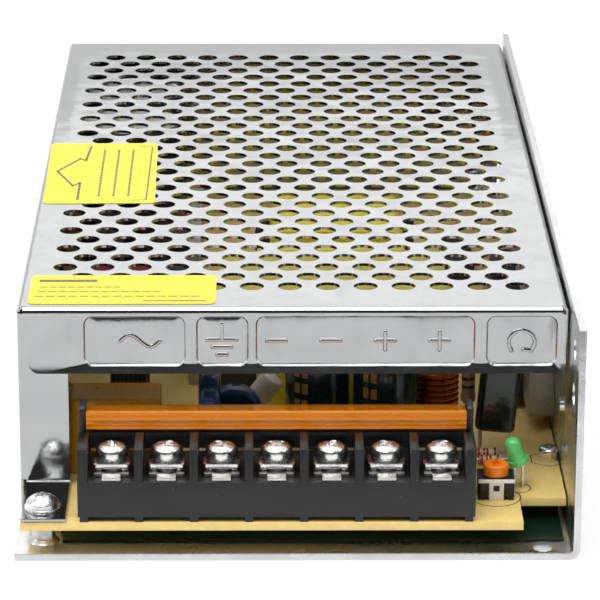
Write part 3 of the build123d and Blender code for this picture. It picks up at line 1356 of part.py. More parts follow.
with BuildPart() as output_rectifiers:
    with BuildSketch(Plane.YZ.offset(spreader_x)):
        with Locations((spreader_middle, spreader_z)):
            with GridLocations(RECTIFIER_SPACING, 1, 2, 1):
                Rectangle(RECTIFIER[1], RECTIFIER[2])
    extrude(amount=-RECTIFIER[0])
output_rectifiers.part.label = "output_rectifiers"
export_step(output_rectifiers.part, "parts/output_rectifiers.step")

with BuildPart() as rectifier_clamp:
    with BuildSketch(Plane.YZ.offset(spreader_x - RECTIFIER[0])):
        with Locations((spreader_middle, spreader_z)):
            Rectangle(RECTIFIER_SPACING + RECTIFIER[1], CLAMP_HEIGHT)
    extrude(amount=-CLAMP)
    with BuildSketch(Plane.YZ.offset(spreader_x)):
        with Locations((spreader_middle, spreader_z)):
            Rectangle(RECTIFIER_SPACING - RECTIFIER[1], CLAMP_HEIGHT)
    extrude(amount=-RECTIFIER[0])
rectifier_clamp.part.label = "rectifier_clamp"
export_step(rectifier_clamp.part, "parts/rectifier_clamp.step")


# Yellow safety stickers on the cover: a broad one behind the lip, a long one along the left
STICKER = 0.12
STICKER_ROUND = 1.2
BROAD_STICKER = (33.0, 15.6)
BROAD_STICKER_AT = (LEFT + 18.3, COVER_FRONT + 9.7)
LONG_STICKER = (21.4, 40.4)
LONG_STICKER_AT = (LEFT + 11.5, COVER_FRONT + 80.8)
LONG_STICKER_TURN = 0.8

with BuildPart() as broad_sticker:
    with BuildSketch(Plane.XY.offset(COVER_TOP)):
        with Locations(BROAD_STICKER_AT):
            RectangleRounded(BROAD_STICKER[0], BROAD_STICKER[1], STICKER_ROUND)
    extrude(amount=STICKER)
broad_sticker.part.label = "broad_sticker"
export_step(broad_sticker.part, "parts/broad_sticker.step")

with BuildPart() as long_sticker:
    with BuildSketch(Plane.XY.offset(COVER_TOP)):
        with Locations(Location(LONG_STICKER_AT, LONG_STICKER_TURN)):
            RectangleRounded(LONG_STICKER[0], LONG_STICKER[1], STICKER_ROUND)
    extrude(amount=STICKER)
long_sticker.part.label = "long_sticker"
export_step(long_sticker.part, "parts/long_sticker.step")
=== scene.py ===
"""Dress an enclosed switching power supply: sheet metal, terminal strip, board parts and stage."""

import json
import math

import bmesh
import bpy
from mathutils import Matrix, Vector


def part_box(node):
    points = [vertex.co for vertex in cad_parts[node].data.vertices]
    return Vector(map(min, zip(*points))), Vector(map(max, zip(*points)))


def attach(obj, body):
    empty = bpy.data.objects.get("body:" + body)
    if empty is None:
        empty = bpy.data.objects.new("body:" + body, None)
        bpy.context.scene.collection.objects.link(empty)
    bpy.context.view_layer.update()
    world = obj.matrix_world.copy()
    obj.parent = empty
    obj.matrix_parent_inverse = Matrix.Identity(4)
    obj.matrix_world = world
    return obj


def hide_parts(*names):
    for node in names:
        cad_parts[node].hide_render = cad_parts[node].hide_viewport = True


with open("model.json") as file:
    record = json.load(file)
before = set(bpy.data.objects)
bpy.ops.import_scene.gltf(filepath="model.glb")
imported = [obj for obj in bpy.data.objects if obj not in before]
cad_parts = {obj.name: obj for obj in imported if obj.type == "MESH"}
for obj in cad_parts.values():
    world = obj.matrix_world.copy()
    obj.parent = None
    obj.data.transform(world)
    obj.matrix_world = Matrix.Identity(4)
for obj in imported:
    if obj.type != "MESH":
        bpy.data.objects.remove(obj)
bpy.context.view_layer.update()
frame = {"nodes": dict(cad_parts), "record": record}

bl_info = {
    "name": "Power Supply Dresser",
    "version": (1, 0, 0),
    "blender": (4, 5, 0),
    "location": "View3D > Sidebar > Power Supply",
    "description": "Builds the visible pieces and finishes of an enclosed power supply",
    "category": "Add Mesh",
}

MM = 0.001
CASE = "case"
POLES = sum(1 for node in frame["nodes"] if node.startswith("terminal_screw_"))
COVER_LOW, COVER_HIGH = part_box("cover")
CHASSIS_LOW, CHASSIS_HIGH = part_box("chassis")
BOARD_LOW, BOARD_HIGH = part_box("pcb")
CHASSIS_SHEET = 1.2 * MM
FLOOR_TOP = CHASSIS_LOW.z + CHASSIS_SHEET


# Settings


class SheetSettings(bpy.types.PropertyGroup):
    """Sizes and colours of the folded cover and the chassis."""

    sheet: bpy.props.FloatProperty(
        name="Cover sheet", description="Thickness of the cover", default=0.55 * MM, unit="LENGTH"
    )
    bend: bpy.props.FloatProperty(
        name="Bend", description="Outer radius of the cover's folds", default=1.1 * MM, unit="LENGTH"
    )
    setback: bpy.props.FloatProperty(
        name="Setback", description="From the chassis front to the lip", default=18.0 * MM, unit="LENGTH"
    )
    lip_depth: bpy.props.FloatProperty(
        name="Lip depth", description="Height of the folded front lip", default=12.1 * MM, unit="LENGTH"
    )
    hole: bpy.props.FloatProperty(
        name="Vent hole", description="Diameter of a vent hole", default=4.3 * MM, unit="LENGTH"
    )
    pitch: bpy.props.FloatProperty(
        name="Hole pitch", description="Distance between holes in a row", default=6.74 * MM, unit="LENGTH"
    )
    row_pitch: bpy.props.FloatProperty(
        name="Row pitch", description="Distance between rows of holes", default=5.39 * MM, unit="LENGTH"
    )
    rows: bpy.props.IntProperty(name="Rows", description="Rows of vent holes", default=30, min=2)
    cover_colour: bpy.props.FloatVectorProperty(
        name="Cover colour", description="Bright plated steel", subtype="COLOR", default=(0.47, 0.475, 0.48)
    )
    chassis_colour: bpy.props.FloatVectorProperty(
        name="Chassis colour", description="Dull light metal", subtype="COLOR", default=(0.72, 0.725, 0.73)
    )


class TerminalSettings(bpy.types.PropertyGroup):
    """Colour of the hinged cover and depth of the screws' recess."""

    flap_colour: bpy.props.FloatVectorProperty(
        name="Cover colour", description="Clear amber plastic", subtype="COLOR", default=(0.96, 0.31, 0.006)
    )
    recess_depth: bpy.props.FloatProperty(
        name="Recess depth", description="Depth of the cross recess", default=1.2 * MM, unit="LENGTH"
    )


class BoardSettings(bpy.types.PropertyGroup):
    """Print on the circuit board."""

    print_line: bpy.props.FloatProperty(
        name="Print line", description="Width of a printed line", default=0.22 * MM, unit="LENGTH"
    )


class StageSettings(bpy.types.PropertyGroup):
    """Camera and light."""

    focal_length: bpy.props.FloatProperty(
        name="Focal length", description="Lens on a 36 mm sensor, in millimetres", default=207.87
    )
    world_level: bpy.props.FloatProperty(
        name="Room light", description="Level of the light behind the object", default=0.85
    )


# Colours and finishes


def shade(red, green, blue):
    """Linear colour of a screen colour from 0 to 255."""
    return tuple(
        value / 12.92 if value <= 0.04045 else ((value + 0.055) / 1.055) ** 2.4
        for value in (red / 255, green / 255, blue / 255)
    )


def darker(colour, share):
    """The same colour at a share of its strength."""
    return tuple(share * value for value in colour)


class Finish:
    """A principled material with a few nodes on object coordinates."""

    def __init__(self, name, colour, roughness=0.4, metallic=0.0, **sockets):
        self.material = bpy.data.materials.new(name)
        self.material.use_nodes = True
        self.tree = self.material.node_tree
        self.shader = self.tree.nodes["Principled BSDF"]
        self.shader.inputs["Base Color"].default_value = (*colour, 1.0)
        self.shader.inputs["Roughness"].default_value = roughness
        self.shader.inputs["Metallic"].default_value = metallic
        for socket, value in sockets.items():
            self.shader.inputs[socket.replace("_", " ")].default_value = value
        self.coordinates = self.tree.nodes.new("ShaderNodeTexCoord")

    def place(self, stretch=(1, 1, 1), move=(0, 0, 0), turn=(0, 0, 0)):
        """Object coordinates, moved, turned and stretched."""
        mapping = self.tree.nodes.new("ShaderNodeMapping")
        mapping.inputs["Location"].default_value = move
        mapping.inputs["Rotation"].default_value = turn
        mapping.inputs["Scale"].default_value = stretch
        self.tree.links.new(self.coordinates.outputs["Object"], mapping.inputs["Vector"])
        return mapping.outputs["Vector"]

    def cloud(self, size, detail=3.0, roughness=0.5, stretch=(1, 1, 1), distortion=0.0):
        """Soft noise whose patches are about that size in metres."""
        texture = self.tree.nodes.new("ShaderNodeTexNoise")
        texture.inputs["Scale"].default_value = 1 / size
        texture.inputs["Detail"].default_value = detail
        texture.inputs["Roughness"].default_value = roughness
        texture.inputs["Distortion"].default_value = distortion
        self.tree.links.new(self.place(stretch), texture.inputs["Vector"])
        return texture.outputs["Fac"]

    def cells(self, size, stretch=(1, 1, 1)):
        """Random value in each patch, as on plated crystals."""
        texture = self.tree.nodes.new("ShaderNodeTexVoronoi")
        texture.inputs["Scale"].default_value = 1 / size
        self.tree.links.new(self.place(stretch), texture.inputs["Vector"])
        separate = self.tree.nodes.new("ShaderNodeSeparateColor")
        self.tree.links.new(texture.outputs["Color"], separate.inputs["Color"])
        return separate.outputs["Red"]

    def bands(self, size, axis="Z", profile="SIN", distortion=0.0, move=(0, 0, 0)):
        """Parallel bands along one axis, one every given size."""
        texture = self.tree.nodes.new("ShaderNodeTexWave")
        texture.bands_direction = axis
        texture.wave_profile = profile
        texture.inputs["Scale"].default_value = math.pi / (10 * size)
        texture.inputs["Distortion"].default_value = distortion
        self.tree.links.new(self.place(move=move), texture.inputs["Vector"])
        return texture.outputs["Fac"]

    def spread(self, value, low, high, start=0.0, end=1.0):
        """Value mapped from a start and end to low and high."""
        span = self.tree.nodes.new("ShaderNodeMapRange")
        span.inputs["From Min"].default_value = start
        span.inputs["From Max"].default_value = end
        span.inputs["To Min"].default_value = low
        span.inputs["To Max"].default_value = high
        self.tree.links.new(value, span.inputs["Value"])
        return span.outputs["Result"]

    def mix(self, factor, first, second):
        """Colour between two colours, each a tuple or another mix."""
        mixer = self.tree.nodes.new("ShaderNodeMix")
        mixer.data_type = "RGBA"
        self.tree.links.new(factor, mixer.inputs["Factor"])
        for socket, colour in ((mixer.inputs[6], first), (mixer.inputs[7], second)):
            if isinstance(colour, tuple):
                socket.default_value = (*colour, 1.0)
            else:
                self.tree.links.new(colour, socket)
        return mixer.outputs[2]

    def colour(self, value):
        self.tree.links.new(value, self.shader.inputs["Base Color"])

    def rough(self, value, low, high, start=0.25, end=0.75):
        self.tree.links.new(self.spread(value, low, high, start, end), self.shader.inputs["Roughness"])

    def bump(self, *heights):
        """Chain of bumps, each a value and a depth in metres."""
        normal = None
        for value, depth in heights:
            bump = self.tree.nodes.new("ShaderNodeBump")
            bump.inputs["Distance"].default_value = depth
            self.tree.links.new(value, bump.inputs["Height"])
            if normal:
                self.tree.links.new(normal, bump.inputs["Normal"])
            normal = bump.outputs["Normal"]
        self.tree.links.new(normal, self.shader.inputs["Normal"])


FINISHES = {}


def finish(name):
    """Material of that name, made the first time that it is asked for."""
    if name not in FINISHES:
        if name in PLAIN_FINISHES:
            first, second, roughness, grain, depth, sockets = PLAIN_FINISHES[name]
            made = plain_plastic(name, first, second, roughness, grain * MM, depth * MM, **sockets)
        else:
            made = FINISH_MAKERS[name]()
        FINISHES[name] = made.material
    return FINISHES[name]


def bright_sheet():
    """Plated steel that mirrors softly, with a rolled wave, handling marks and fine speckle."""
    settings = bpy.context.scene.sheet_settings
    base = tuple(settings.cover_colour)
    made = Finish("bright_sheet", base, 0.16, 1.0)
    wave = made.cloud(34 * MM, 1.0, 0.4, (1, 0.7, 1.3))
    dents = made.cloud(7 * MM, 1.0, 0.4)
    marks = made.cloud(9 * MM, 6.0, 0.62, distortion=0.6)
    speckle = made.cloud(0.7 * MM, 2.0)
    made.colour(made.mix(made.spread(marks, 0.0, 1.0, 0.3, 0.75), base, darker(base, 0.86)))
    made.rough(marks, 0.07, 0.17)
    made.bump((wave, 0.5 * MM), (dents, 0.1 * MM), (marks, 0.04 * MM), (speckle, 0.004 * MM))
    return made


def dull_sheet():
    """Zinc-dull chassis metal: fine rolling lines along the length, cloudy oxide and small pits."""
    settings = bpy.context.scene.sheet_settings
    base = tuple(settings.chassis_colour)
    made = Finish("dull_sheet", base, 0.36, 1.0)
    lines = made.cloud(0.5 * MM, 4.0, 0.6, (1, 0.02, 1))
    clouds = made.cloud(14 * MM, 5.0, 0.6)
    pits = made.cloud(1.1 * MM, 3.0, 0.7)
    made.colour(made.mix(made.spread(clouds, 0.0, 1.0, 0.35, 0.7), base, darker(base, 0.82)))
    made.rough(clouds, 0.2, 0.38)
    made.bump((clouds, 0.25 * MM), (lines, 0.012 * MM), (made.spread(pits, 0.0, 1.0, 0.62, 0.72), 0.02 * MM))
    return made


def bright_screw():
    """Nickel-plated screw steel with drawing lines and a few scuffs."""
    made = Finish("bright_screw", (0.83, 0.83, 0.82), 0.14, 1.0)
    scuffs = made.cloud(1.4 * MM, 5.0, 0.65)
    made.rough(scuffs, 0.14, 0.32)
    made.bump((scuffs, 0.09 * MM), (made.cloud(0.25 * MM, 2.0), 0.012 * MM))
    return made


def tinned():
    """Tinned brass of tabs, leads and clips."""
    made = Finish("tinned", (0.70, 0.69, 0.66), 0.3, 1.0)
    clouds = made.cloud(2 * MM, 4.0)
    made.colour(made.mix(clouds, (0.74, 0.73, 0.70), (0.56, 0.55, 0.52)))
    made.rough(clouds, 0.2, 0.42)
    made.bump((clouds, 0.03 * MM))
    return made


def black_moulding():
    """Glass-filled black plastic with a faint flow grain and dusty edges."""
    made = Finish("black_moulding", (0.012, 0.012, 0.013), 0.38)
    grain = made.cloud(0.35 * MM, 3.0)
    flow = made.cloud(6 * MM, 4.0, 0.6, (0.4, 1, 1))
    dust = made.spread(made.cloud(0.4 * MM, 2.0, 0.7), 0.0, 0.5, 0.72, 0.76)
    resin = made.mix(made.spread(flow, 0.0, 1.0, 0.4, 0.75), (0.005, 0.005, 0.006), (0.014, 0.014, 0.014))
    made.colour(made.mix(dust, resin, (0.3, 0.3, 0.29)))
    made.rough(flow, 0.30, 0.48)
    made.bump((grain, 0.012 * MM), (flow, 0.04 * MM))
    return made


def black_epoxy():
    """Matt moulding compound of transistors and chips."""
    made = Finish("black_epoxy", (0.02, 0.02, 0.021), 0.55)
    grain = made.cloud(0.3 * MM, 4.0, 0.7)
    made.colour(made.mix(grain, (0.012, 0.012, 0.013), (0.035, 0.035, 0.036)))
    made.bump((grain, 0.03 * MM))
    return made


def amber_clear():
    """Clear amber plastic, cloudy where it is thick, with drawing lines along its length."""
    settings = bpy.context.scene.terminal_settings
    made = Finish(
        "amber_clear",
        settings.flap_colour,
        0.16,
        Transmission_Weight=0.32,
        IOR=1.49,
        Coat_Weight=0.15,
        Coat_Roughness=0.08,
    )
    lines = made.cloud(0.35 * MM, 3.0, 0.6, (0.02, 1, 1))
    specks = made.cloud(0.5 * MM, 3.0, 0.75)
    ribs = made.bands(0.85 * MM, "Z")
    base = tuple(settings.flap_colour)
    amber = made.mix(made.spread(lines, 0.0, 1.0, 0.35, 0.7), base, darker(base, 0.92))
    made.colour(made.mix(made.spread(specks, 0.0, 0.7, 0.6, 0.72), amber, (0.22, 0.05, 0.01)))
    made.rough(specks, 0.10, 0.30)
    made.bump((ribs, 0.07 * MM), (lines, 0.025 * MM), (specks, 0.02 * MM))
    return made


def cream_board():
    """Cream paper laminate with faint fibres and flux stains."""
    made = Finish("cream_board", (0.82, 0.61, 0.25), 0.42)
    fibres = made.cloud(1.2 * MM, 5.0, 0.7, (1, 0.35, 1))
    stains = made.cloud(16 * MM, 4.0, 0.6)
    paper = made.mix(made.spread(fibres, 0.0, 1.0, 0.3, 0.7), shade(246, 218, 142), shade(238, 206, 124))
    made.colour(made.mix(made.spread(stains, 0.0, 0.6, 0.5, 0.8), paper, shade(222, 186, 104)))
    made.rough(stains, 0.34, 0.5)
    made.bump((fibres, 0.02 * MM))
    return made


def board_print():
    """Black printing ink, slightly worn."""
    made = Finish("board_print", (0.02, 0.018, 0.015), 0.5)
    wear = made.cloud(0.6 * MM, 4.0)
    made.colour(made.mix(made.spread(wear, 0.0, 1.0, 0.55, 0.8), (0.018, 0.016, 0.014), (0.12, 0.09, 0.05)))
    return made


def green_film():
    """Glossy dark green insulating film with soft ripples."""
    made = Finish("green_film", shade(6, 32, 24), 0.2, Coat_Weight=0.1)
    ripples = made.cloud(22 * MM, 2.0)
    made.colour(made.mix(ripples, shade(3, 34, 25), shade(8, 48, 37)))
    made.bump((ripples, 0.8 * MM))
    return made


def plain_plastic(name, first, second, roughness, grain, depth, **sockets):
    """Coloured plastic or lacquer that varies softly between two colours."""
    made = Finish(name, first, roughness, **sockets)
    clouds = made.cloud(grain, 4.0, 0.6)
    slow = made.cloud(grain * 7, 2.0)
    made.colour(made.mix(made.spread(clouds, 0.0, 1.0, 0.3, 0.75), first, second))
    made.rough(slow, roughness * 0.75, min(1.0, roughness * 1.3))
    made.bump((clouds, depth))
    return made


# Each plain finish: two colours, roughness, size of its grain and depth of its bump in millimetres, other sockets
PLAIN_FINISHES = {
    "box_yellow": (shade(216, 160, 8), shade(190, 134, 6), 0.35, 0.8, 0.02, {}),
    "dip_green": (shade(8, 30, 16), shade(5, 22, 11), 0.26, 3, 0.12, {"Coat_Weight": 0.15}),
    "dip_blue": (shade(8, 72, 120), shade(6, 56, 98), 0.2, 2, 0.08, {"Coat_Weight": 0.5}),
    "sleeve_white": (shade(226, 218, 204), shade(204, 194, 178), 0.5, 2, 0.02, {}),
    "sleeve_green": (shade(22, 52, 50), shade(14, 38, 38), 0.22, 4, 0.03, {"Coat_Weight": 0.4}),
    "sleeve_black": (shade(34, 36, 42), shade(24, 25, 30), 0.25, 4, 0.03, {}),
    "gold_print": (shade(204, 160, 74), shade(178, 132, 52), 0.4, 0.8, 0.02, {}),
    "can_top": ((0.74, 0.74, 0.74), (0.66, 0.66, 0.66), 0.28, 1.5, 0.02, {"metallic": 1.0}),
    "copper_wire": (shade(176, 92, 48), shade(138, 62, 30), 0.25, 1.2, 0.02, {"metallic": 0.7}),
    "ferrite": ((0.045, 0.045, 0.047), (0.028, 0.028, 0.03), 0.6, 0.5, 0.05, {}),
    "red_tape": (shade(132, 20, 18), shade(100, 12, 12), 0.35, 3, 0.1, {}),
    "resistor_tan": (shade(228, 192, 152), shade(212, 172, 130), 0.35, 1, 0.02, {}),
    "resistor_brown": (shade(186, 140, 108), shade(158, 112, 82), 0.5, 1, 0.05, {}),
    "band_red": (shade(176, 34, 24), shade(150, 24, 18), 0.35, 0.8, 0.02, {}),
    "band_dark": (shade(60, 34, 22), shade(40, 22, 14), 0.4, 0.8, 0.02, {}),
    "lamp_green": (
        shade(120, 226, 130), shade(92, 206, 110), 0.12, 2, 0.01, {"Transmission_Weight": 0.15, "IOR": 1.5}
    ),
    "knob_orange": (shade(250, 134, 20), shade(236, 116, 12), 0.42, 0.6, 0.02, {}),
    "yoke_white": ((0.86, 0.86, 0.85), (0.76, 0.76, 0.75), 0.24, 0.8, 0.02, {"metallic": 0.25}),
    "slider_red": (shade(204, 44, 34), shade(184, 32, 24), 0.4, 0.8, 0.02, {}),
    "sticker_ink": (shade(84, 80, 52), shade(104, 98, 60), 0.4, 0.8, 0.02, {}),
    "fuse_glass": ((0.9, 0.92, 0.92), (0.86, 0.9, 0.9), 0.06, 4, 0.0, {"Transmission_Weight": 0.9}),
}


def yellow_tape():
    """Polyester tape wound in layers, slightly clear and wrinkled."""
    made = Finish("yellow_tape", shade(244, 226, 50), 0.4)
    wrinkles = made.cloud(5 * MM, 4.0, 0.55, (1, 1, 0.4))
    made.colour(made.mix(made.spread(wrinkles, 0.0, 1.0, 0.3, 0.7), shade(252, 238, 70), shade(240, 220, 40)))
    made.bump((wrinkles, 0.3 * MM))
    return made


def olive_tape():
    """Clear yellow tape over dark ferrite."""
    made = Finish("olive_tape", shade(216, 206, 92), 0.4)
    wrinkles = made.cloud(6 * MM, 4.0, 0.55)
    made.colour(made.mix(made.spread(wrinkles, 0.0, 1.0, 0.3, 0.7), shade(222, 212, 96), shade(204, 192, 76)))
    made.bump((wrinkles, 0.3 * MM))
    return made


def dark_winding():
    """Black-lacquered wire, turn beside turn, with a painted highlight along the crest of each turn."""
    made = Finish("dark_winding", (0.03, 0.025, 0.022), 0.35)
    turns = made.bands(0.8 * MM, "X")
    # Painted highlight: each turn's band is lighter at its crest, standing in for the lamps' sheen on the wire.
    made.colour(made.mix(turns, (0.012, 0.010, 0.009), (0.06, 0.045, 0.035)))
    made.bump((turns, 0.3 * MM))
    return made


def spreader_metal():
    """Cast-looking aluminium bar with sawn lines and grey oxide."""
    made = Finish("spreader_metal", (0.5, 0.5, 0.49), 0.5, 0.85)
    grit = made.cloud(0.7 * MM, 5.0, 0.75)
    made.colour(made.mix(grit, (0.58, 0.57, 0.55), (0.30, 0.29, 0.27)))
    made.rough(grit, 0.38, 0.62)
    made.bump((grit, 0.09 * MM))
    return made


def sticker_yellow():
    """Vinyl sticker, slightly lifted over the sheet's grain."""
    made = Finish("sticker_yellow", shade(250, 226, 44), 0.42)
    ripples = made.cloud(12 * MM, 3.0)
    made.colour(made.mix(made.spread(ripples, 0.0, 1.0, 0.3, 0.7), shade(240, 218, 26), shade(228, 202, 16)))
    made.bump((ripples, 0.12 * MM))
    return made


FINISH_MAKERS = {
    maker.__name__: maker
    for maker in (
        bright_sheet,
        dull_sheet,
        bright_screw,
        tinned,
        black_moulding,
        black_epoxy,
        amber_clear,
        cream_board,
        board_print,
        green_film,
        yellow_tape,
        olive_tape,
        dark_winding,
        spreader_metal,
        sticker_yellow,
    )
}


# Shaping helpers


def show(name, bm, finishes, body=CASE, replaces=(), crease=32.0):
    """Turn a finished bmesh into a piece that rides on a body."""
    bmesh.ops.remove_doubles(bm, verts=bm.verts, dist=0.002 * MM)
    for face in bm.faces:
        face.smooth = True
    for edge in bm.edges:
        edge.smooth = edge.calc_face_angle(math.pi) < math.radians(crease)
    mesh = bpy.data.meshes.new(name)
    bm.to_mesh(mesh)
    bm.free()
    for each in [finishes] if isinstance(finishes, str) else finishes:
        mesh.materials.append(finish(each))
    piece = bpy.data.objects.new(name, mesh)
    bpy.context.scene.collection.objects.link(piece)
    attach(piece, body)
    if replaces:
        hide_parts(*replaces)
    return piece


def body_of(node):
    """Name of the body that carries a node."""
    return next(name for name, nodes in frame["record"]["behaviour"]["bodies"].items() if node in nodes)


def dressed(node, finish_name, edge=0.15 * MM, segments=2):
    """Merged copy of a solid with softened edges, in place of the solid."""
    bm = bmesh.new()
    bm.from_mesh(bpy.data.objects[frame["nodes"][node].name].data)
    bmesh.ops.remove_doubles(bm, verts=bm.verts, dist=0.002 * MM)
    bmesh.ops.dissolve_limit(bm, angle_limit=math.radians(0.6), verts=bm.verts, edges=bm.edges)
    if edge:
        sharp = [e for e in bm.edges if e.is_manifold and e.calc_face_angle(0) > math.radians(35)]
        bmesh.ops.bevel(
            bm,
            geom=sharp,
            offset=edge,
            offset_type="OFFSET",
            affect="EDGES",
            segments=segments,
            profile=0.5,
            material=-1,
            clamp_overlap=True,
        )
    return show(f"{node}_piece", bm, finish_name, body_of(node), (node,))


def ring_of(bm, centre, radius, steps, axis="Z"):
    """Open circle about an axis through a centre."""
    turn = {"X": Matrix.Rotation(math.pi / 2, 4, "Y"), "Y": Matrix.Rotation(math.pi / 2, 4, "X"), "Z": Matrix()}[axis]
    made = bmesh.ops.create_circle(bm, segments=steps, radius=radius, matrix=Matrix.Translation(centre) @ turn)
    return made["verts"]


def edges_of(verts):
    """Edges between the given vertices."""
    chosen = set(verts)
    return list({edge for vert in verts for edge in vert.link_edges if edge.other_vert(vert) in chosen})


def rounded_loop(bm, centre, size, corner, axis="Y", steps=24):
    """Circle pulled apart into a rounded rectangle that faces an axis."""
    verts = ring_of(bm, (0, 0, 0), corner, steps)
    bmesh.ops.rotate(bm, verts=verts, cent=(0, 0, 0), matrix=Matrix.Rotation(math.pi / steps, 3, "Z"))
    reach = Vector((size[0] / 2 - corner, size[1] / 2 - corner, 0))
    for vert in verts:
        vert.co.x += math.copysign(reach.x, vert.co.x)
        vert.co.y += math.copysign(reach.y, vert.co.y)
    turn = {"Y": Matrix.Rotation(math.pi / 2, 4, "X"), "X": Matrix.Rotation(math.pi / 2, 4, "X"), "Z": Matrix()}[axis]
    if axis == "X":
        turn = Matrix.Rotation(math.pi / 2, 4, "Z") @ turn
    bmesh.ops.transform(bm, verts=verts, matrix=Matrix.Translation(centre) @ turn)
    return verts


def turned(bm, profile, centre, steps=40, tilt=Matrix(), finish_index=0):
    """Spin a profile of radii and heights round the Z axis, then tilt and place it."""
    before = set(bm.faces)
    verts = [bm.verts.new((radius, 0, height)) for radius, height in profile]
    edges = [bm.edges.new(pair) for pair in zip(verts, verts[1:])]
    bmesh.ops.spin(
        bm,
        geom=verts + edges,
        cent=(0, 0, 0),
        axis=(0, 0, 1),
        dvec=(0, 0, 0),
        angle=2 * math.pi,
        steps=steps,
        use_merge=True,
    )
    faces = [face for face in bm.faces if face not in before]
    verts = list({vert for face in faces for vert in face.verts})
    bmesh.ops.remove_doubles(bm, verts=verts, dist=0.001 * MM)
    faces = [face for face in bm.faces if face not in before]
    bmesh.ops.recalc_face_normals(bm, faces=faces)
    for face in faces:
        face.material_index = finish_index
    verts = list({vert for face in faces for vert in face.verts})
    bmesh.ops.transform(bm, verts=verts, matrix=Matrix.Translation(centre) @ tilt)
    return faces


def block(bm, centre, size, round_by=0.0, turn=Matrix(), finish_index=0, segments=2):
    """Box with rounded edges."""
    matrix = Matrix.Translation(centre) @ turn @ Matrix.Diagonal((*size, 1))
    verts = bmesh.ops.create_cube(bm, size=1, matrix=matrix)["verts"]
    faces = list({face for vert in verts for face in vert.link_faces})
    for face in faces:
        face.material_index = finish_index
    if round_by:
        edges = edges_of(verts)
        bmesh.ops.bevel(
            bm, geom=edges, offset=round_by, affect="EDGES", segments=segments, profile=0.5, material=-1
        )


def rod(bm, start, end, radius, steps=12, finish_index=0):
    """Round bar with closed ends between two points."""
    run = Vector(end) - Vector(start)
    matrix = Matrix.Translation((Vector(start) + Vector(end)) / 2) @ run.to_track_quat("Z", "Y").to_matrix().to_4x4()
    made = bmesh.ops.create_cone(
        bm, cap_ends=True, segments=steps, radius1=radius, radius2=radius, depth=run.length, matrix=matrix
    )
    for face in {face for vert in made["verts"] for face in vert.link_faces}:
        face.material_index = finish_index


def bead(bm, points, radius, flatten=0.8):
    """Raised pressed stroke through points on a face that looks along Y."""
    middle = Vector(points[0]).y
    before = set(bm.verts)
    for start, end in zip(points, points[1:]):
        rod(bm, start, end, radius, 10)
    for point in points:
        bmesh.ops.create_uvsphere(bm, u_segments=10, v_segments=8, radius=radius, matrix=Matrix.Translation(point))
    for vert in set(bm.verts) - before:
        vert.co.y = middle + (vert.co.y - middle) * flatten


def carve(bm, cutter):
    """Cut one closed bmesh out of another."""
    pair = []
    for each in (bm, cutter):
        mesh = bpy.data.meshes.new("carving")
        each.to_mesh(mesh)
        each.free()
        pair.append(bpy.data.objects.new("carving", mesh))
        bpy.context.scene.collection.objects.link(pair[-1])
    target, tool = pair
    modifier = target.modifiers.new("cut", "BOOLEAN")
    modifier.operation = "DIFFERENCE"
    modifier.solver = "EXACT"
    modifier.object = tool
    depsgraph = bpy.context.evaluated_depsgraph_get()
    mesh = bpy.data.meshes.new_from_object(target.evaluated_get(depsgraph))
    result = bmesh.new()
    result.from_mesh(mesh)
    bpy.data.meshes.remove(mesh)
    for each in pair:
        old = each.data
        bpy.data.objects.remove(each)
        bpy.data.meshes.remove(old)
    return result


# Folded cover


FIELDS = [(-37.4, 18.0, 1.0), (-17.7, 9.3, 1.0), (-7.3, 38.6, 0.75), (33.1, 12.6, 0.5)]
FIELD_HEIGHT = 9.4 * MM
FIELD_BELOW_TOP = 1.45 * MM
FIELD_CORNER = 1.8 * MM
FIELD_DEPTH = 0.32 * MM
FIELD_PLANE = 0.55 * FIELD_DEPTH
FIELD_EDGE = 0.38 * MM
FIELD_BORDER = 1.6 * MM
HEM = 1.7 * MM
HEM_TILT = math.tan(math.radians(12.5))
LIP_INSET = 2.0 * MM
LIP_CORNER = 1.8 * MM
CORNER_STEPS = 6
FIRST_ROW = 29.7 * MM
PATTERN_SHIFT = -1.16 * MM
HOLE_STEPS = 24
LONG_ROW = 13
SELECTOR_WINDOW = (10.0 * MM, 5.0 * MM)
SELECTOR_PLACE = (0.7 * MM, 12.9 * MM)
WINDOW_CORNER = 0.8 * MM
FLANGE_DEPTH = 7.0 * MM
REAR_GAP = 0.4 * MM
STRAP_WIDTH = 8.8 * MM
RETURN_SETBACK = 0.8 * MM
FLANGE_REACH = 0.3 * MM
INNER_BEND = 0.3 * MM
STEP = 0.3 * MM
FOOT_HOLE = 1.6 * MM
FLOOR_TABS = [-36.5, 54.5]
TAB_SIZE = (6.2 * MM, 8.0 * MM)
FOOT_WASHER = 3.2 * MM
QUARTER = math.pi / 2


def perforated_field(bm, settings, top):
    """Rows of round holes, each in its own cell; returns the rim vertices of the holes."""
    rims = set()
    for row in range(settings.rows):
        y = CHASSIS_LOW.y + FIRST_ROW + row * settings.row_pitch
        count = LONG_ROW - row % 2
        for column in range(count):
            x = PATTERN_SHIFT + (column - (count - 1) / 2) * settings.pitch
            rim = ring_of(bm, (x, y, top), settings.hole / 2, HOLE_STEPS)
            cell = bmesh.ops.create_grid(
                bm,
                x_segments=2,
                y_segments=1,
                size=0.5,
                matrix=Matrix.Translation((x, y, top)) @ Matrix.Diagonal((settings.pitch, settings.row_pitch, 1, 1)),
            )["verts"]
            rims.update(rim)
            inner = [face for face in {face for vert in cell for face in vert.link_faces}]
            bmesh.ops.delete(bm, geom=inner, context="FACES_ONLY")
            crossing = [
                edge
                for edge in edges_of(cell)
                if abs(edge.verts[0].co.x - x) < 0.1 * MM and abs(edge.verts[1].co.x - x) < 0.1 * MM
            ]
            bmesh.ops.delete(bm, geom=crossing, context="EDGES")
            bmesh.ops.bridge_loops(bm, edges=edges_of(rim) + edges_of(cell))
    return rims


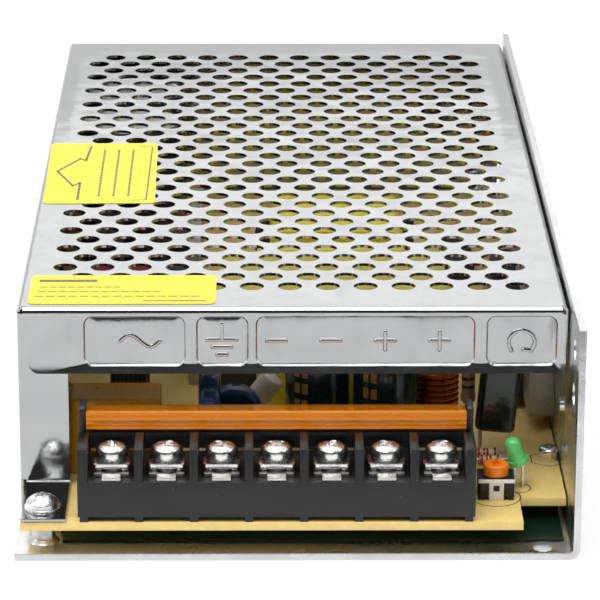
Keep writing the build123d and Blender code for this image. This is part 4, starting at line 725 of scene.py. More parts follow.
def fold(bm, edges, corner, axis, angle, steps=6):
    """Bend the sheet's edge round a corner line; returns the new edge."""
    made = bmesh.ops.spin(
        bm, geom=edges, cent=corner, axis=axis, dvec=(0, 0, 0), angle=angle, steps=steps, use_merge=False
    )
    return [each for each in made["geom_last"] if isinstance(each, bmesh.types.BMEdge)]


def draw_out(bm, edges, move):
    """Extend the sheet from an edge; returns the new edge."""
    made = bmesh.ops.extrude_edge_only(bm, edges=edges)["geom"]
    verts = {each for each in made if isinstance(each, bmesh.types.BMVert)}
    bmesh.ops.translate(bm, verts=list(verts), vec=move)
    return [each for each in made if isinstance(each, bmesh.types.BMEdge) and all(v in verts for v in each.verts)]


def ends_of(edges, axis):
    """First and last vertex of an edge run along an axis."""
    verts = sorted({vert for edge in edges for vert in edge.verts}, key=lambda vert: vert.co[axis])
    return verts[0], verts[-1]


def outline(bm, start, points, end):
    """Edges from one vertex through new points to another vertex."""
    chain = [start] + [bm.verts.new(point) for point in points] + [end]
    return [bm.edges.new(pair) for pair in zip(chain, chain[1:])]


def quarter_round(centre, radius, start, sign=1):
    """Points of a quarter circle in a flat pair of coordinates."""
    return [
        (
            centre[0] + radius * math.cos(start + sign * QUARTER * step / CORNER_STEPS),
            centre[1] + radius * math.sin(start + sign * QUARTER * step / CORNER_STEPS),
        )
        for step in range(CORNER_STEPS + 1)
    ]


def vented_top(bm, settings, left, right, front, rear, top):
    """Flat top with its vent field; returns the front, right, rear and left border edges."""
    rims = perforated_field(bm, settings, top)
    bmesh.ops.remove_doubles(bm, verts=bm.verts, dist=0.02 * MM)
    field = [edge for edge in bm.edges if len(edge.link_faces) == 1 and not all(v in rims for v in edge.verts)]
    corners = [bm.verts.new((x, y, top)) for x, y in ((left, front), (right, front), (right, rear), (left, rear))]
    border = [bm.edges.new((corners[i], corners[(i + 1) % 4])) for i in range(4)]
    bmesh.ops.triangle_fill(bm, use_beauty=True, edges=field + border, normal=(0, 0, 1))
    return border


def cut_across(bm, depth, height):
    """Cut the upright faces at one depth along a level line, so that the flat above it stays flat."""
    upright = [face for face in bm.faces if abs(face.calc_center_median().y - depth) < 0.01 * MM]
    edges = {edge for face in upright for edge in face.edges}
    verts = {vert for face in upright for vert in face.verts}
    bmesh.ops.bisect_plane(
        bm, geom=[*upright, *edges, *verts], dist=0.001 * MM, plane_co=(0, 0, height), plane_no=(0, 0, 1)
    )


def front_lip(bm, edges, settings, left, right, front, top):
    """Lip with rounded lower corners, pressed fields and a slightly tilted lower band."""
    bottom = top - settings.lip_depth
    first, last = ends_of(edges, 0)
    low_left = quarter_round((left + LIP_CORNER, bottom + LIP_CORNER), LIP_CORNER, math.pi)
    low_right = quarter_round((right - LIP_CORNER, bottom + LIP_CORNER), LIP_CORNER, -QUARTER)
    shoulder = top - settings.bend - STEP
    points = [(left, shoulder), *low_left, *low_right, (right, shoulder)]
    border = outline(bm, first, [(x, front, z) for x, z in points], last)
    rims = []
    for field_left, width, dish in FIELDS:
        width *= MM
        middle = (field_left * MM + width / 2, top - FIELD_BELOW_TOP - FIELD_HEIGHT / 2)
        loops = [
            rounded_loop(
                bm,
                (middle[0], front + FIELD_DEPTH * sink, middle[1]),
                (width - 2 * inset, FIELD_HEIGHT - 2 * inset),
                FIELD_CORNER - inset,
            )
            for inset, sink in ((0, 0), (0.15 * FIELD_EDGE, 0.06), (0.85 * FIELD_EDGE, 0.94), (FIELD_EDGE, 1))
        ]
        size = (width - 2 * FIELD_BORDER, FIELD_HEIGHT - 2 * FIELD_BORDER)
        panel = rounded_loop(bm, (middle[0], front + FIELD_DEPTH, middle[1]), size, FIELD_CORNER - FIELD_EDGE)
        for vert in panel:
            vert.co.y -= dish * FIELD_DEPTH * (0.5 + (vert.co.z - middle[1]) / size[1])
        loops.append(panel)
        for outer, inner in zip(loops, loops[1:]):
            bmesh.ops.bridge_loops(bm, edges=edges_of(outer) + edges_of(inner))
        bmesh.ops.contextual_create(bm, geom=edges_of(loops[-1]))
        rims += edges_of(loops[0])
    bmesh.ops.triangle_fill(bm, use_beauty=True, edges=edges + border + rims, normal=(0, -1, 0))
    fold_height = bottom + HEM
    cut_across(bm, front, fold_height)
    for vert in bm.verts:
        if abs(vert.co.y - front) < 0.001 * MM and vert.co.z < fold_height:
            vert.co.y -= (fold_height - vert.co.z) * HEM_TILT


def left_side(bm, edge, settings, left, rear, return_front):
    """Side wall with the selector window, the strap behind the lip and the foot under the screw."""
    bend, sheet = settings.bend, settings.sheet
    edge = draw_out(bm, edge, (0, 0, -STEP))
    near, far = ends_of(edge, 1)
    near.co.y = return_front + bend
    far.co.y = rear - sheet
    foot_top = BOARD_HIGH.z + RETURN_SETBACK
    low = foot_top + INNER_BEND
    corners = [(left, near.co.y, low), (left, near.co.y, FLOOR_TOP), (left, far.co.y, FLOOR_TOP)]
    border = outline(bm, near, corners, far)
    window = rounded_loop(bm, (left, *SELECTOR_PLACE), SELECTOR_WINDOW, WINDOW_CORNER, "X")
    bmesh.ops.triangle_fill(bm, use_beauty=True, edges=edge + border + edges_of(window), normal=(-1, 0, 0))
    strap = fold(bm, [border[0]], (left + bend, near.co.y, 0), (0, 0, 1), QUARTER)
    first, last = ends_of(strap, 2)
    strap = draw_out(bm, strap, (STRAP_WIDTH - bend, 0, 0))
    inner_low = ends_of(strap, 2)[0]
    foot = fold(
        bm,
        [edge for edge in first.link_edges if edge.other_vert(first) == inner_low],
        (0, return_front - INNER_BEND, low),
        (1, 0, 0),
        -QUARTER,
        4,
    )
    first, last = ends_of(foot, 0)
    foot_front = COVER_LOW.y
    border = outline(bm, first, [(first.co.x, foot_front, foot_top), (last.co.x, foot_front, foot_top)], last)
    screw_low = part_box("pcb_screws")[0]
    hole = ring_of(bm, (screw_low.x + FOOT_WASHER, screw_low.y + FOOT_WASHER, foot_top), FOOT_HOLE, HOLE_STEPS)
    bmesh.ops.triangle_fill(bm, use_beauty=True, edges=foot + border + edges_of(hole), normal=(0, 0, 1))
    cut_across(bm, return_front, low + STEP)


def sheet_cover(settings):
    """The cover as one folded sheet: vented top, sides, rear, lip, strap and foot."""
    left, right = COVER_LOW.x, COVER_HIGH.x
    top, rear = COVER_HIGH.z, COVER_HIGH.y
    front = CHASSIS_LOW.y + settings.setback
    bend, sheet = settings.bend, settings.sheet
    fold_height = top - bend
    bm = bmesh.new()
    flange = right + FLANGE_REACH
    border = vented_top(bm, settings, left + bend, flange - bend, front + bend, rear - bend, top)
    edges = fold(bm, [border[2]], (0, rear - bend, fold_height), (1, 0, 0), -QUARTER)
    edges = draw_out(bm, edges, (0, 0, -STEP))
    for vert, x in zip(ends_of(edges, 0), (left, right)):
        vert.co.x = x
    draw_out(bm, edges, (0, 0, FLOOR_TOP + REAR_GAP - fold_height + STEP))
    edges = fold(bm, [border[1]], (flange - bend, 0, fold_height), (0, 1, 0), QUARTER)
    edges = draw_out(bm, edges, (0, 0, -STEP))
    ends_of(edges, 1)[1].co.y = rear - sheet
    draw_out(bm, edges, (0, 0, bend + STEP - FLANGE_DEPTH))
    edges = fold(bm, [border[0]], (0, front + bend, fold_height), (1, 0, 0), QUARTER)
    front_lip(bm, edges, settings, left + LIP_INSET, right, front, top)
    edges = fold(bm, [border[3]], (left + bend, 0, fold_height), (0, 1, 0), -QUARTER)
    left_side(bm, edges, settings, left, rear, front + RETURN_SETBACK)
    return bm


class MESH_OT_supply_cover(bpy.types.Operator):
    """Fold the vented cover from one sheet"""

    bl_idname = "mesh.supply_cover"
    bl_label = "Vented Cover"

    def execute(self, context):
        settings = context.scene.sheet_settings
        bm = sheet_cover(settings)
        bmesh.ops.recalc_face_normals(bm, faces=bm.faces)
        highest = max(bm.faces, key=lambda face: face.calc_center_median().z)
        if highest.normal.z < 0:
            bmesh.ops.reverse_faces(bm, faces=bm.faces)
        cover = show("cover_piece", bm, "bright_sheet", CASE, ("cover",), 20.0)
        thicken = cover.modifiers.new("sheet", "SOLIDIFY")
        thicken.thickness = settings.sheet
        thicken.offset = -1
        soften = cover.modifiers.new("edges", "BEVEL")
        soften.width = 0.09 * MM
        soften.segments = 1
        soften.limit_method = "ANGLE"
        soften.angle_limit = math.radians(55)
        bm = bmesh.new()
        for y in FLOOR_TABS:
            centre = (COVER_LOW.x + settings.sheet + TAB_SIZE[0] / 2, y * MM, FLOOR_TOP + settings.sheet / 2)
            block(bm, centre, (*TAB_SIZE, settings.sheet))
        piece = show("cover_tabs", bm, "bright_sheet", CASE)
        return {"FINISHED"}


class MESH_OT_supply_metal(bpy.types.Operator):
    """Finish the chassis, standoffs, insulating film and cover screws"""

    bl_idname = "mesh.supply_metal"
    bl_label = "Chassis and Fixings"

    def execute(self, context):
        dressed("chassis", "dull_sheet", 0.12 * MM)
        dressed("standoffs", "tinned", 0.1 * MM)
        dressed("insulating_sheet", "green_film", 0.0)
        dressed("cover_screws", "bright_screw", 0.1 * MM)
        dressed("pcb_screws", "bright_screw", 0.12 * MM)
        return {"FINISHED"}


# Terminal strip


ARM_FOOT = 1.3 * MM
ARM_REACH = 2.75 * MM
ARM_SHARE = 0.27
SCREW_TURNS = [20, 62, 34, 44, 68, 27, 52]
HEAD_RADIUS = 2.8 * MM
HEAD_HEIGHT = 2.1 * MM
HEAD_DOME = 1.5 * MM
SPRING_WASHER = 0.7 * MM
SHANK = 1.65 * MM
WASHER_BORE = 1.7 * MM
WASHER_RADIUS = 2.3 * MM
WASHER_GAP = 0.02 * MM


def pan_head(bm, centre, seat, head_radius, head_height, dome, shank_radius, shank_bottom):
    """Closed screw with a domed head and a plain shank."""
    profile = [(0, shank_bottom), (shank_radius * 0.7, shank_bottom), (shank_radius, shank_bottom + shank_radius * 0.4)]
    profile += [(shank_radius, seat), (head_radius - 0.12 * MM, seat), (head_radius, seat + 0.12 * MM)]
    for step in range(11):
        angle = QUARTER * step / 10
        rise = head_height - dome + dome * math.sin(angle) ** 0.8
        profile.append((head_radius * math.cos(angle) ** 0.62, seat + rise))
    return turned(bm, profile, centre, 48)


def cross_arm(centre, top, depth, turn):
    """Tapered bar that cuts one arm of a driver recess."""
    bm = bmesh.new()
    spare = 0.4 * MM
    matrix = Matrix.Translation((*centre, top + (spare - depth) / 2)) @ Matrix.Rotation(turn, 4, "Z")
    square = Matrix.Diagonal((1, ARM_SHARE, 1, 1)) @ Matrix.Rotation(math.pi / 4, 4, "Z")
    bmesh.ops.create_cone(
        bm,
        cap_ends=True,
        segments=4,
        radius1=ARM_FOOT,
        radius2=ARM_REACH,
        depth=depth + spare,
        matrix=matrix @ square,
    )
    return bm


class MESH_OT_supply_screws(bpy.types.Operator):
    """Turn the terminal screws with their driver recess and spring washer"""

    bl_idname = "mesh.supply_screws"
    bl_label = "Terminal Screws"

    def execute(self, context):
        depth = context.scene.terminal_settings.recess_depth
        for number in range(1, POLES + 1):
            node = f"terminal_screw_{number}"
            low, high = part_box(node)
            x, y = (low.x + high.x) / 2, (low.y + high.y) / 2
            seat = high.z - HEAD_HEIGHT
            turn = math.radians(SCREW_TURNS[(number - 1) % len(SCREW_TURNS)])
            head = bmesh.new()
            pan_head(head, (x, y, 0), seat, HEAD_RADIUS, HEAD_HEIGHT, HEAD_DOME, SHANK, low.z)
            bm = carve(head, cross_arm((x, y), high.z, depth, turn))
            bm = carve(bm, cross_arm((x, y), high.z, depth, turn + QUARTER))
            washer = [(WASHER_BORE, seat - SPRING_WASHER), (WASHER_RADIUS, seat - SPRING_WASHER)]
            washer += [(WASHER_RADIUS, seat - WASHER_GAP), (WASHER_BORE, seat - WASHER_GAP), washer[0]]
            turned(bm, washer, (x, y, 0), 32)
            show(f"{node}_piece", bm, "bright_screw", body_of(node), (node,), 28.0)
        return {"FINISHED"}


class MESH_OT_supply_strip(bpy.types.Operator):
    """Finish the terminal housing, tabs, clamp plates and hinged cover"""

    bl_idname = "mesh.supply_strip"
    bl_label = "Terminal Strip"

    def execute(self, context):
        dressed("terminal_housing", "black_moulding", 0.16 * MM)
        dressed("terminal_tabs", "tinned", 0.12 * MM)
        dressed("terminal_cover", "amber_clear", 0.12 * MM)
        for number in range(1, POLES + 1):
            dressed(f"clamp_plate_{number}", "bright_screw", 0.12 * MM)
        return {"FINISHED"}


# Board and what stands on it


def printed_ring(bm, centre, radius, line, sides, turn=0.0):
    """Flat printed outline with a given number of sides."""
    loops = []
    for each in (radius - line / 2, radius + line / 2):
        verts = ring_of(bm, centre, each, sides)
        bmesh.ops.rotate(bm, verts=verts, cent=centre, matrix=Matrix.Rotation(turn, 3, "Z"))
        loops += edges_of(verts)
    bmesh.ops.bridge_loops(bm, edges=loops)


class MESH_OT_supply_board(bpy.types.Operator):
    """Finish the circuit board and print its outlines"""

    bl_idname = "mesh.supply_board"
    bl_label = "Circuit Board"

    def execute(self, context):
        settings = context.scene.board_settings
        dressed("pcb", "cream_board", 0.08 * MM)
        bm = bmesh.new()
        height = BOARD_HIGH.z + 0.02 * MM
        trimmer_low, trimmer_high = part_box("trimmer_body")
        trimmer = ((trimmer_low.x + trimmer_high.x) / 2, (trimmer_low.y + trimmer_high.y) / 2, height)
        printed_ring(bm, (trimmer[0], trimmer[1] - 1.0 * MM, height), 4.4 * MM, settings.print_line, 32)
        edge_screw = (BOARD_HIGH.x - 1.75 * MM, BOARD_LOW.y + 29.3 * MM, height)
        printed_ring(bm, edge_screw, 3.6 * MM, settings.print_line, 6)
        lamp_low, lamp_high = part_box("indicator_lamp")
        lamp = (lamp_high.x - 1.8 * MM, (lamp_low.y + lamp_high.y) / 2, height)
        printed_ring(bm, lamp, 2.2 * MM, settings.print_line, 24)
        for face in bm.faces:
            if face.normal.z < 0:
                face.normal_flip()
        piece = show("board_print", bm, "board_print", CASE)
        return {"FINISHED"}


def can_profile(radius, height, groove=2.7 * MM):
    """Sleeved can from its foot to the crimp at its top."""
    return [
        (0, 0),
        (radius - 0.5 * MM, 0),
        (radius, 0.5 * MM),
        (radius, groove - 0.5 * MM),
        (radius - 0.5 * MM, groove - 0.1 * MM),
        (radius - 0.5 * MM, groove + 0.1 * MM),
        (radius, groove + 0.5 * MM),
        (radius, height - 0.8 * MM),
        (radius - 0.25 * MM, height - 0.2 * MM),
        (radius - 0.8 * MM, height),
        (radius - 1.1 * MM, height - 0.15 * MM),
    ]


def dashes_on_can(bm, centre, radius, low, high, angle, finish_index):
    """Column of plain printed dashes on a can's sleeve."""
    count = 5
    step = (high - low) / count
    for number in range(count):
        for side in (-1, 1):
            direction = Vector((math.sin(angle + side * 0.14), -math.cos(angle + side * 0.14), 0))
            place = Vector(centre) + direction * (radius + 0.01 * MM)
            place.z = low + step * (number + 0.5)
            turn = Matrix.Rotation(angle + side * 0.14, 4, "Z")
            block(bm, place, (1.15 * MM, 0.04 * MM, step * 0.62), 0, turn, finish_index)


class MESH_OT_supply_capacitors(bpy.types.Operator):
    """Make the capacitors: sleeved cans, dipped discs, film and box types"""

    bl_idname = "mesh.supply_capacitors"
    bl_label = "Capacitors"

    def execute(self, context):
        for node, sleeve, radius, falling in (
            ("output_capacitors", "sleeve_green", 5.9 * MM, True),
            ("bulk_capacitors", "sleeve_black", 11.0 * MM, False),
        ):
            low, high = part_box(node)
            height = high.z - low.z
            near, far = low.y + radius, high.y - radius
            places = [(low.x + radius, far), (high.x - radius, near)]
            if not falling:
                places = [(low.x + radius, near), (high.x - radius, far)]
            bm = bmesh.new()
            for x, y in places:
                centre = Vector((x, y, low.z))
                turned(bm, can_profile(radius, height), centre, 48)
                lid = [(radius - 1.1 * MM, height - 0.15 * MM), (radius - 1.3 * MM, height - 0.3 * MM)]
                lid += [(0, height - 0.3 * MM)]
                turned(bm, lid, centre, 48, finish_index=1)
                for quarter in (0.3, 0.3 + QUARTER):
                    score = Matrix.Rotation(quarter, 4, "Z")
                    middle = centre + Vector((0, 0, height - 0.29 * MM))
                    block(bm, middle, (radius, 0.25 * MM, 0.06 * MM), 0, score, 1)
                dashes_on_can(bm, centre, radius, low.z + 4 * MM, high.z - 1.5 * MM, -0.55, 2)
            show(f"{node}_piece", bm, [sleeve, "can_top", "gold_print"], CASE, (node,))
        dressed("x_capacitor", "box_yellow", 0.5 * MM, 3)
        dressed("film_capacitor", "dip_green", 0.25 * MM, 3)
        dressed("disc_capacitors", "dip_blue", 0.0)
        return {"FINISHED"}


def banded_body(bm, start, end, radius, waist, bands):
    """Resistor body with bulged ends and colour bands between two points."""
    run = Vector(end) - Vector(start)
    length = run.length
    tilt = run.to_track_quat("Z", "Y").to_matrix().to_4x4()
    cap = length * 0.2
    stations = [(0, 0), (radius * 0.7, 0.02 * length), (radius, 0.08 * length), (radius, cap), (waist, cap * 1.3)]
    stations += [(waist, length - cap * 1.3), (radius, length - cap), (radius, 0.92 * length)]
    stations += [(radius * 0.7, 0.98 * length), (0, length)]
    turned(bm, stations, start, 28, tilt)
    for share, width, index in bands:
        outer = (radius if share < 0.18 or share > 0.82 else waist) + 0.02 * MM
        low, high = share * length - width / 2, share * length + width / 2
        inner = outer - 0.04 * MM
        turned(bm, [(inner, low), (outer, low), (outer, high), (inner, high)], start, 28, tilt, index)


class MESH_OT_supply_small_parts(bpy.types.Operator):
    """Make the resistors, lamp, trimmer, choke rod and their leads"""

    bl_idname = "mesh.supply_small_parts"
    bl_label = "Small Parts"

    def execute(self, context):
        low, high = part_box("small_resistors")
        bm = bmesh.new()
        radius = (high.z - low.z) / 2
        length = 3.9 * MM
        for start, y in ((low.x, high.y - radius), (high.x - length, low.y + radius)):
            ends = [(x, y, low.z + radius) for x in (start, start + length)]
            bands = [(0.12, 0.45 * MM, 1), (0.36, 0.4 * MM, 1), (0.52, 0.4 * MM, 2), (0.86, 0.4 * MM, 2)]
            banded_body(bm, *ends, radius, radius * 0.84, bands)
        show("small_resistors_piece", bm, ["resistor_tan", "band_red", "band_dark"], CASE, ("small_resistors",))
        low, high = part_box("power_resistor")
        middle = (low + high) / 2
        bm = bmesh.new()
        bands = [(share, 0.55 * MM, 1) for share in (0.2, 0.4, 0.58, 0.8)]
        radius = (high.x - low.x) / 2
        ends = [(middle.x, middle.y, height) for height in (low.z, high.z)]
        banded_body(bm, *ends, radius, radius * 0.9, bands)
        show("power_resistor_piece", bm, ["resistor_brown", "band_dark"], CASE, ("power_resistor",))
        dressed("indicator_lamp", "lamp_green", 0.0)
        dressed("trimmer_body", "black_moulding", 0.15 * MM)
        dressed("trimmer_yoke", "yoke_white", 0.05 * MM)
        dressed("trimmer_knob", "knob_orange", 0.12 * MM)
        dressed("component_leads", "tinned", 0.0)
        dressed("rod_choke", "sleeve_white", 0.0)
        dressed("selector_body", "black_moulding", 0.15 * MM)
        dressed("selector_slider", "slider_red", 0.15 * MM)
        dressed("control_chip", "black_epoxy", 0.1 * MM)
        return {"FINISHED"}


class MESH_OT_supply_wound_parts(bpy.types.Operator):
    """Finish the transformer, chokes, heat-carrying metal and power parts"""

    bl_idname = "mesh.supply_wound_parts"
    bl_label = "Wound and Power Parts"

    def execute(self, context):
        for node, finish_name, edge in (
            ("transformer_core", "ferrite", 0.3),
            ("transformer_winding", "yellow_tape", 0.4),
            ("transformer_bobbin", "black_moulding", 0.2),
            ("transformer_tape", "olive_tape", 0.0),
            ("choke_core", "ferrite", 0.3),
            ("choke_winding", "yellow_tape", 0.3),
            ("line_filter_core", "dark_winding", 0.3),
            ("line_filter_winding", "red_tape", 0.3),
            ("inductor_drum", "ferrite", 0.2),
            ("heat_sink", "spreader_metal", 0.2),
            ("heat_spreader", "spreader_metal", 0.3),
            ("power_transistors", "black_epoxy", 0.25),
            ("output_rectifiers", "black_epoxy", 0.25),
            ("bridge_rectifier", "black_epoxy", 0.25),
            ("rectifier_clamp", "tinned", 0.15),
            ("fuse", "fuse_glass", 0.2),
            ("fuse_clips", "tinned", 0.1),
        ):
            dressed(node, finish_name, edge * MM)
        low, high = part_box("inductor_coil")
        middle = (low + high) / 2
        wire = 0.55 * MM
        outer = (high.x - low.x) / 2
        bm = bmesh.new()
        turns = int((high.z - low.z) / (2 * wire))
        for number in range(turns):
            height = low.z + wire * (2 * number + 1)
            section = [
                (outer - wire + wire * math.cos(angle), height + wire * math.sin(angle))
                for angle in [step * math.pi / 4 for step in range(9)]
            ]
            turned(bm, section, (middle.x, middle.y, 0), 36)
        bore = 2.7 * MM
        core = [(bore, low.z), (outer - wire, low.z), (outer - wire, high.z), (bore, high.z), (bore, low.z)]
        turned(bm, core, (middle.x, middle.y, 0), 36)
        show("inductor_coil_piece", bm, "copper_wire", CASE, ("inductor_coil",))
        return {"FINISHED"}


# Signs pressed into the lip and stickers


def inked(bm, low, high, points, width):
    """Printed line through points given as shares of a sticker's width and, from the back, its length."""
    places = [
        Vector((low.x + across * (high.x - low.x), high.y - along * (high.y - low.y), high.z + 0.01 * MM))
        for across, along in points
    ]
    for start, end in zip(places, places[1:]):
        run = end - start
        turn = Matrix.Rotation(math.atan2(run.y, run.x), 4, "Z")
        block(bm, (start + end) / 2, (run.length + width * 0.8, width, 0.02 * MM), 0, turn)


def dashed(bm, low, high, start, end, count):
    """Row of plain printed dashes."""
    for number in range(count):
        share, length = number / count, 0.62 / count
        ends = [
            tuple(first + (last - first) * place for first, last in zip(start, end))
            for place in (share, share + length)
        ]
        inked(bm, low, high, ends, 0.42 * MM)


class MESH_OT_supply_signs(bpy.types.Operator):
    """Press plain signs into the lip and finish the stickers"""

    bl_idname = "mesh.supply_signs"
    bl_label = "Signs and Stickers"

    def execute(self, context):
        settings = context.scene.sheet_settings
        front = CHASSIS_LOW.y + settings.setback + FIELD_PLANE
        top = COVER_HIGH.z
        middle = top - FIELD_BELOW_TOP - FIELD_HEIGHT / 2
        radius = 0.36 * MM
        bm = bmesh.new()
        poles = [(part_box(f"terminal_screw_{n}")[0].x + HEAD_RADIUS) for n in range(1, POLES + 1)]
        # Wavy line for the two supply poles
        centre = (poles[0] + poles[1]) / 2
        wave = [
            (centre + (step / 12 - 0.5) * 7 * MM, front, middle + 1.1 * MM * math.sin(step / 12 * 2 * math.pi))
            for step in range(13)
        ]
        bead(bm, wave, radius)
        # Earth sign
        earth = poles[2]
        bead(bm, [(earth, front, middle + 3.2 * MM), (earth, front, middle + 0.2 * MM)], radius)
        for half, drop in ((2.6, 0.2), (1.7, -1.2), (0.9, -2.6)):
            bead(
                bm,
                [(earth - half * MM, front, middle + drop * MM), (earth + half * MM, front, middle + drop * MM)],
                radius,
            )
        # Two minus and two plus signs
        for number, x in enumerate(poles[3:7]):
            bead(bm, [(x - 1.7 * MM, front, middle), (x + 1.7 * MM, front, middle)], radius)
            if number > 1:
                bead(bm, [(x, front, middle - 1.7 * MM), (x, front, middle + 1.7 * MM)], radius)
        # Turning arrow for the adjuster
        centre = 39.4 * MM
        arc = [
            (
                centre + 2.3 * MM * math.cos(math.radians(220 - 260 * step / 14)),
                front,
                middle - 0.4 * MM + 2.3 * MM * math.sin(math.radians(220 - 260 * step / 14)),
            )
            for step in range(15)
        ]
        bead(bm, arc, radius)
        tip = Vector(arc[-1])
        bead(bm, [tip + Vector((-1.5 * MM, 0, 0.2 * MM)), tip, tip + Vector((0.5 * MM, 0, 1.4 * MM))], radius)
        piece = show("lip_signs", bm, "bright_sheet", CASE)
        dressed("broad_sticker", "sticker_yellow", 0.0)
        dressed("long_sticker", "sticker_yellow", 0.0)
        bm = bmesh.new()
        low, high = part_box("broad_sticker")
        inked(bm, low, high, [(0.06, 0.2), (0.34, 0.2)], 1.3 * MM)
        for row, (start, end) in enumerate(((0.06, 0.5), (0.05, 0.72), (0.04, 0.93), (0.62, 0.95))):
            dashed(bm, low, high, (start, 0.42 + 0.16 * row), (end, 0.42 + 0.16 * row), 9 + 3 * row)
        low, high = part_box("long_sticker")
        inked(bm, low, high, [(0.37, 0.06), (0.34, 0.3), (0.29, 0.27), (0.1, 0.48)], 0.5 * MM)
        inked(bm, low, high, [(0.1, 0.48), (0.26, 0.72), (0.32, 0.67), (0.32, 0.94)], 0.5 * MM)
        inked(bm, low, high, [(0.82, 0.06), (0.93, 0.07), (0.92, 0.94), (0.8, 0.95)], 0.3 * MM)
        for across in (0.5, 0.63, 0.76):
            dashed(bm, low, high, (across, 0.12), (across, 0.9), 17)
        piece = show("sticker_print", bm, "sticker_ink", CASE)
        return {"FINISHED"}


# Stage


CAMERA_PLACE = Vector((-6.16, -652.3, 238.1)) * MM
CAMERA_PITCH = math.radians(19.01)
CAMERA_YAW = math.radians(-0.67)
CAMERA_ROLL = math.radians(0.17)
CAMERA_TURN = (
    Matrix.Rotation(CAMERA_YAW, 3, "Z")
    @ Matrix.Rotation(math.pi / 2 - CAMERA_PITCH, 3, "X")
    @ Matrix.Rotation(CAMERA_ROLL, 3, "Z")
)


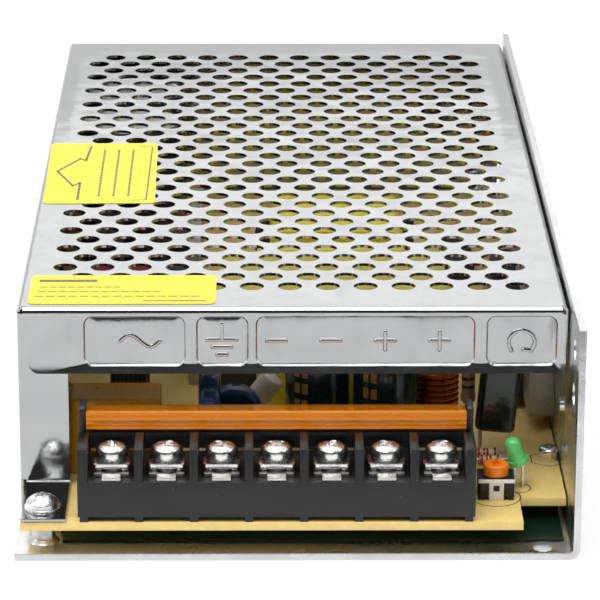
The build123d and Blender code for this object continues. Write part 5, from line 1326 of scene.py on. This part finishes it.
class SCENE_OT_supply_stage(bpy.types.Operator):
    """Set the floor, the light and the camera"""

    bl_idname = "scene.supply_stage"
    bl_label = "Stage"

    def execute(self, context):
        settings = context.scene.stage_settings
        scene = context.scene
        scene.view_settings.view_transform = "Standard"
        self.floor()
        self.world(settings.world_level)
        self.lamp("key", (-0.2, -0.62, 1.05), (0.0, -0.06, 0.0), (0.9, 0.6), 8.2)
        self.lamp("overhead", (0.0, 0.1, 1.15), (0.0, 0.0, 0.0), (0.9, 0.9), 4.6)
        self.lamp("back_card", (0.0, 1.45, 0.93), (0.0, 0.05, 0.03), (2.6, 1.0), 5.3)
        self.lamp("left_card", (-0.95, -0.3, 0.6), (0.0, -0.05, 0.0), (0.5, 0.8), 1.4)
        self.lamp("right_card", (0.95, -0.3, 0.6), (0.0, -0.05, 0.0), (0.4, 0.8), 1.1)
        self.camera(settings.focal_length)
        return {"FINISHED"}

    def floor(self):
        """Pale floor that reads white to the camera and keeps the shadow."""
        bm = bmesh.new()
        bmesh.ops.create_grid(bm, x_segments=1, y_segments=1, size=3.0)
        mesh = bpy.data.meshes.new("floor")
        bm.to_mesh(mesh)
        bm.free()
        pale = Finish("floor_white", (0.93, 0.93, 0.93), 0.6)
        pale.colour(pale.mix(pale.cloud(0.4), (0.93, 0.93, 0.93), (0.95, 0.95, 0.95)))
        glow = pale.tree.nodes.new("ShaderNodeEmission")
        seen = self.direct_rays(pale.tree, 0.6)
        mix = pale.tree.nodes.new("ShaderNodeMixShader")
        pale.tree.links.new(seen, mix.inputs["Fac"])
        pale.tree.links.new(pale.shader.outputs["BSDF"], mix.inputs[1])
        pale.tree.links.new(glow.outputs["Emission"], mix.inputs[2])
        pale.tree.links.new(mix.outputs["Shader"], pale.tree.nodes["Material Output"].inputs["Surface"])
        mesh.materials.append(pale.material)
        floor = bpy.data.objects.new("floor", mesh)
        floor.location.z = -0.0001
        bpy.context.scene.collection.objects.link(floor)

    def direct_rays(self, tree, share):
        """Share for the rays of the camera, of mirrors and of glass."""
        path = tree.nodes.new("ShaderNodeLightPath")
        total = path.outputs["Is Camera Ray"]
        for ray in ("Is Glossy Ray", "Is Transmission Ray"):
            both = tree.nodes.new("ShaderNodeMath")
            both.operation = "MAXIMUM"
            tree.links.new(total, both.inputs[0])
            tree.links.new(path.outputs[ray], both.inputs[1])
            total = both.outputs["Value"]
        scaled = tree.nodes.new("ShaderNodeMath")
        scaled.operation = "MULTIPLY"
        scaled.inputs[1].default_value = share
        tree.links.new(total, scaled.inputs[0])
        return scaled.outputs["Value"]

    def world(self, level):
        """Room that is white to the camera, bright behind the object and dim behind the camera."""
        world = bpy.data.worlds.new("room")
        world.use_nodes = True
        tree = world.node_tree
        room = tree.nodes["Background"]
        direction = tree.nodes.new("ShaderNodeTexCoord")
        split = tree.nodes.new("ShaderNodeSeparateXYZ")
        tree.links.new(direction.outputs["Generated"], split.inputs["Vector"])
        depth = tree.nodes.new("ShaderNodeMapRange")
        for socket, value in (("From Min", -0.85), ("From Max", 0.0), ("To Min", 0.06 * level), ("To Max", level)):
            depth.inputs[socket].default_value = value
        tree.links.new(split.outputs["Y"], depth.inputs["Value"])
        tree.links.new(depth.outputs["Result"], room.inputs["Strength"])
        white = tree.nodes.new("ShaderNodeBackground")
        for node in (room, white):
            node.inputs["Color"].default_value = (1, 1, 1, 1)
        path = tree.nodes.new("ShaderNodeLightPath")
        mix = tree.nodes.new("ShaderNodeMixShader")
        tree.links.new(path.outputs["Is Camera Ray"], mix.inputs["Fac"])
        tree.links.new(room.outputs["Background"], mix.inputs[1])
        tree.links.new(white.outputs["Background"], mix.inputs[2])
        tree.links.new(mix.outputs["Shader"], tree.nodes["World Output"].inputs["Surface"])
        bpy.context.scene.world = world

    def lamp(self, name, place, aim, size, power):
        """Soft rectangular lamp aimed at a point."""
        data = bpy.data.lights.new(name, "AREA")
        data.shape = "RECTANGLE"
        data.size, data.size_y = size
        data.energy = power
        lamp = bpy.data.objects.new(name, data)
        lamp.location = place
        lamp.rotation_euler = (Vector(aim) - Vector(place)).to_track_quat("-Z", "Y").to_euler()
        bpy.context.scene.collection.objects.link(lamp)

    def camera(self, focal_length):
        """Camera at the photograph's viewpoint."""
        data = bpy.data.cameras.new("camera")
        data.lens = focal_length
        data.sensor_width = 36.0
        data.clip_start = 0.01
        camera = bpy.data.objects.new("camera", data)
        camera.location = CAMERA_PLACE
        camera.rotation_euler = CAMERA_TURN.to_euler()
        bpy.context.scene.collection.objects.link(camera)
        bpy.context.scene.camera = camera


# Panel and registration


OPERATORS = (
    MESH_OT_supply_cover,
    MESH_OT_supply_metal,
    MESH_OT_supply_screws,
    MESH_OT_supply_strip,
    MESH_OT_supply_board,
    MESH_OT_supply_capacitors,
    MESH_OT_supply_small_parts,
    MESH_OT_supply_wound_parts,
    MESH_OT_supply_signs,
    SCENE_OT_supply_stage,
)


class VIEW3D_PT_power_supply(bpy.types.Panel):
    """Lists the builders of the power supply"""

    bl_label = "Power Supply"
    bl_idname = "VIEW3D_PT_power_supply"
    bl_space_type = "VIEW_3D"
    bl_region_type = "UI"
    bl_category = "Power Supply"

    def draw(self, context):
        for operator in OPERATORS:
            self.layout.operator(operator.bl_idname)
        for group in SETTINGS:
            settings = getattr(context.scene, group)
            for name in settings.bl_rna.properties.keys():
                if name not in ("rna_type", "name"):
                    self.layout.prop(settings, name)


SETTINGS = {
    "sheet_settings": SheetSettings,
    "terminal_settings": TerminalSettings,
    "board_settings": BoardSettings,
    "stage_settings": StageSettings,
}
CLASSES = (*SETTINGS.values(), *OPERATORS, VIEW3D_PT_power_supply)


def register():
    for each in CLASSES:
        bpy.utils.register_class(each)
    for name, group in SETTINGS.items():
        setattr(bpy.types.Scene, name, bpy.props.PointerProperty(type=group))


def unregister():
    for name in SETTINGS:
        delattr(bpy.types.Scene, name)
    for each in reversed(CLASSES):
        bpy.utils.unregister_class(each)


def main():
    """Build every piece and the stage."""
    register()
    for operator in OPERATORS:
        group, name = operator.bl_idname.split(".")
        getattr(getattr(bpy.ops, group), name)()


if __name__ == "__main__":
    main()
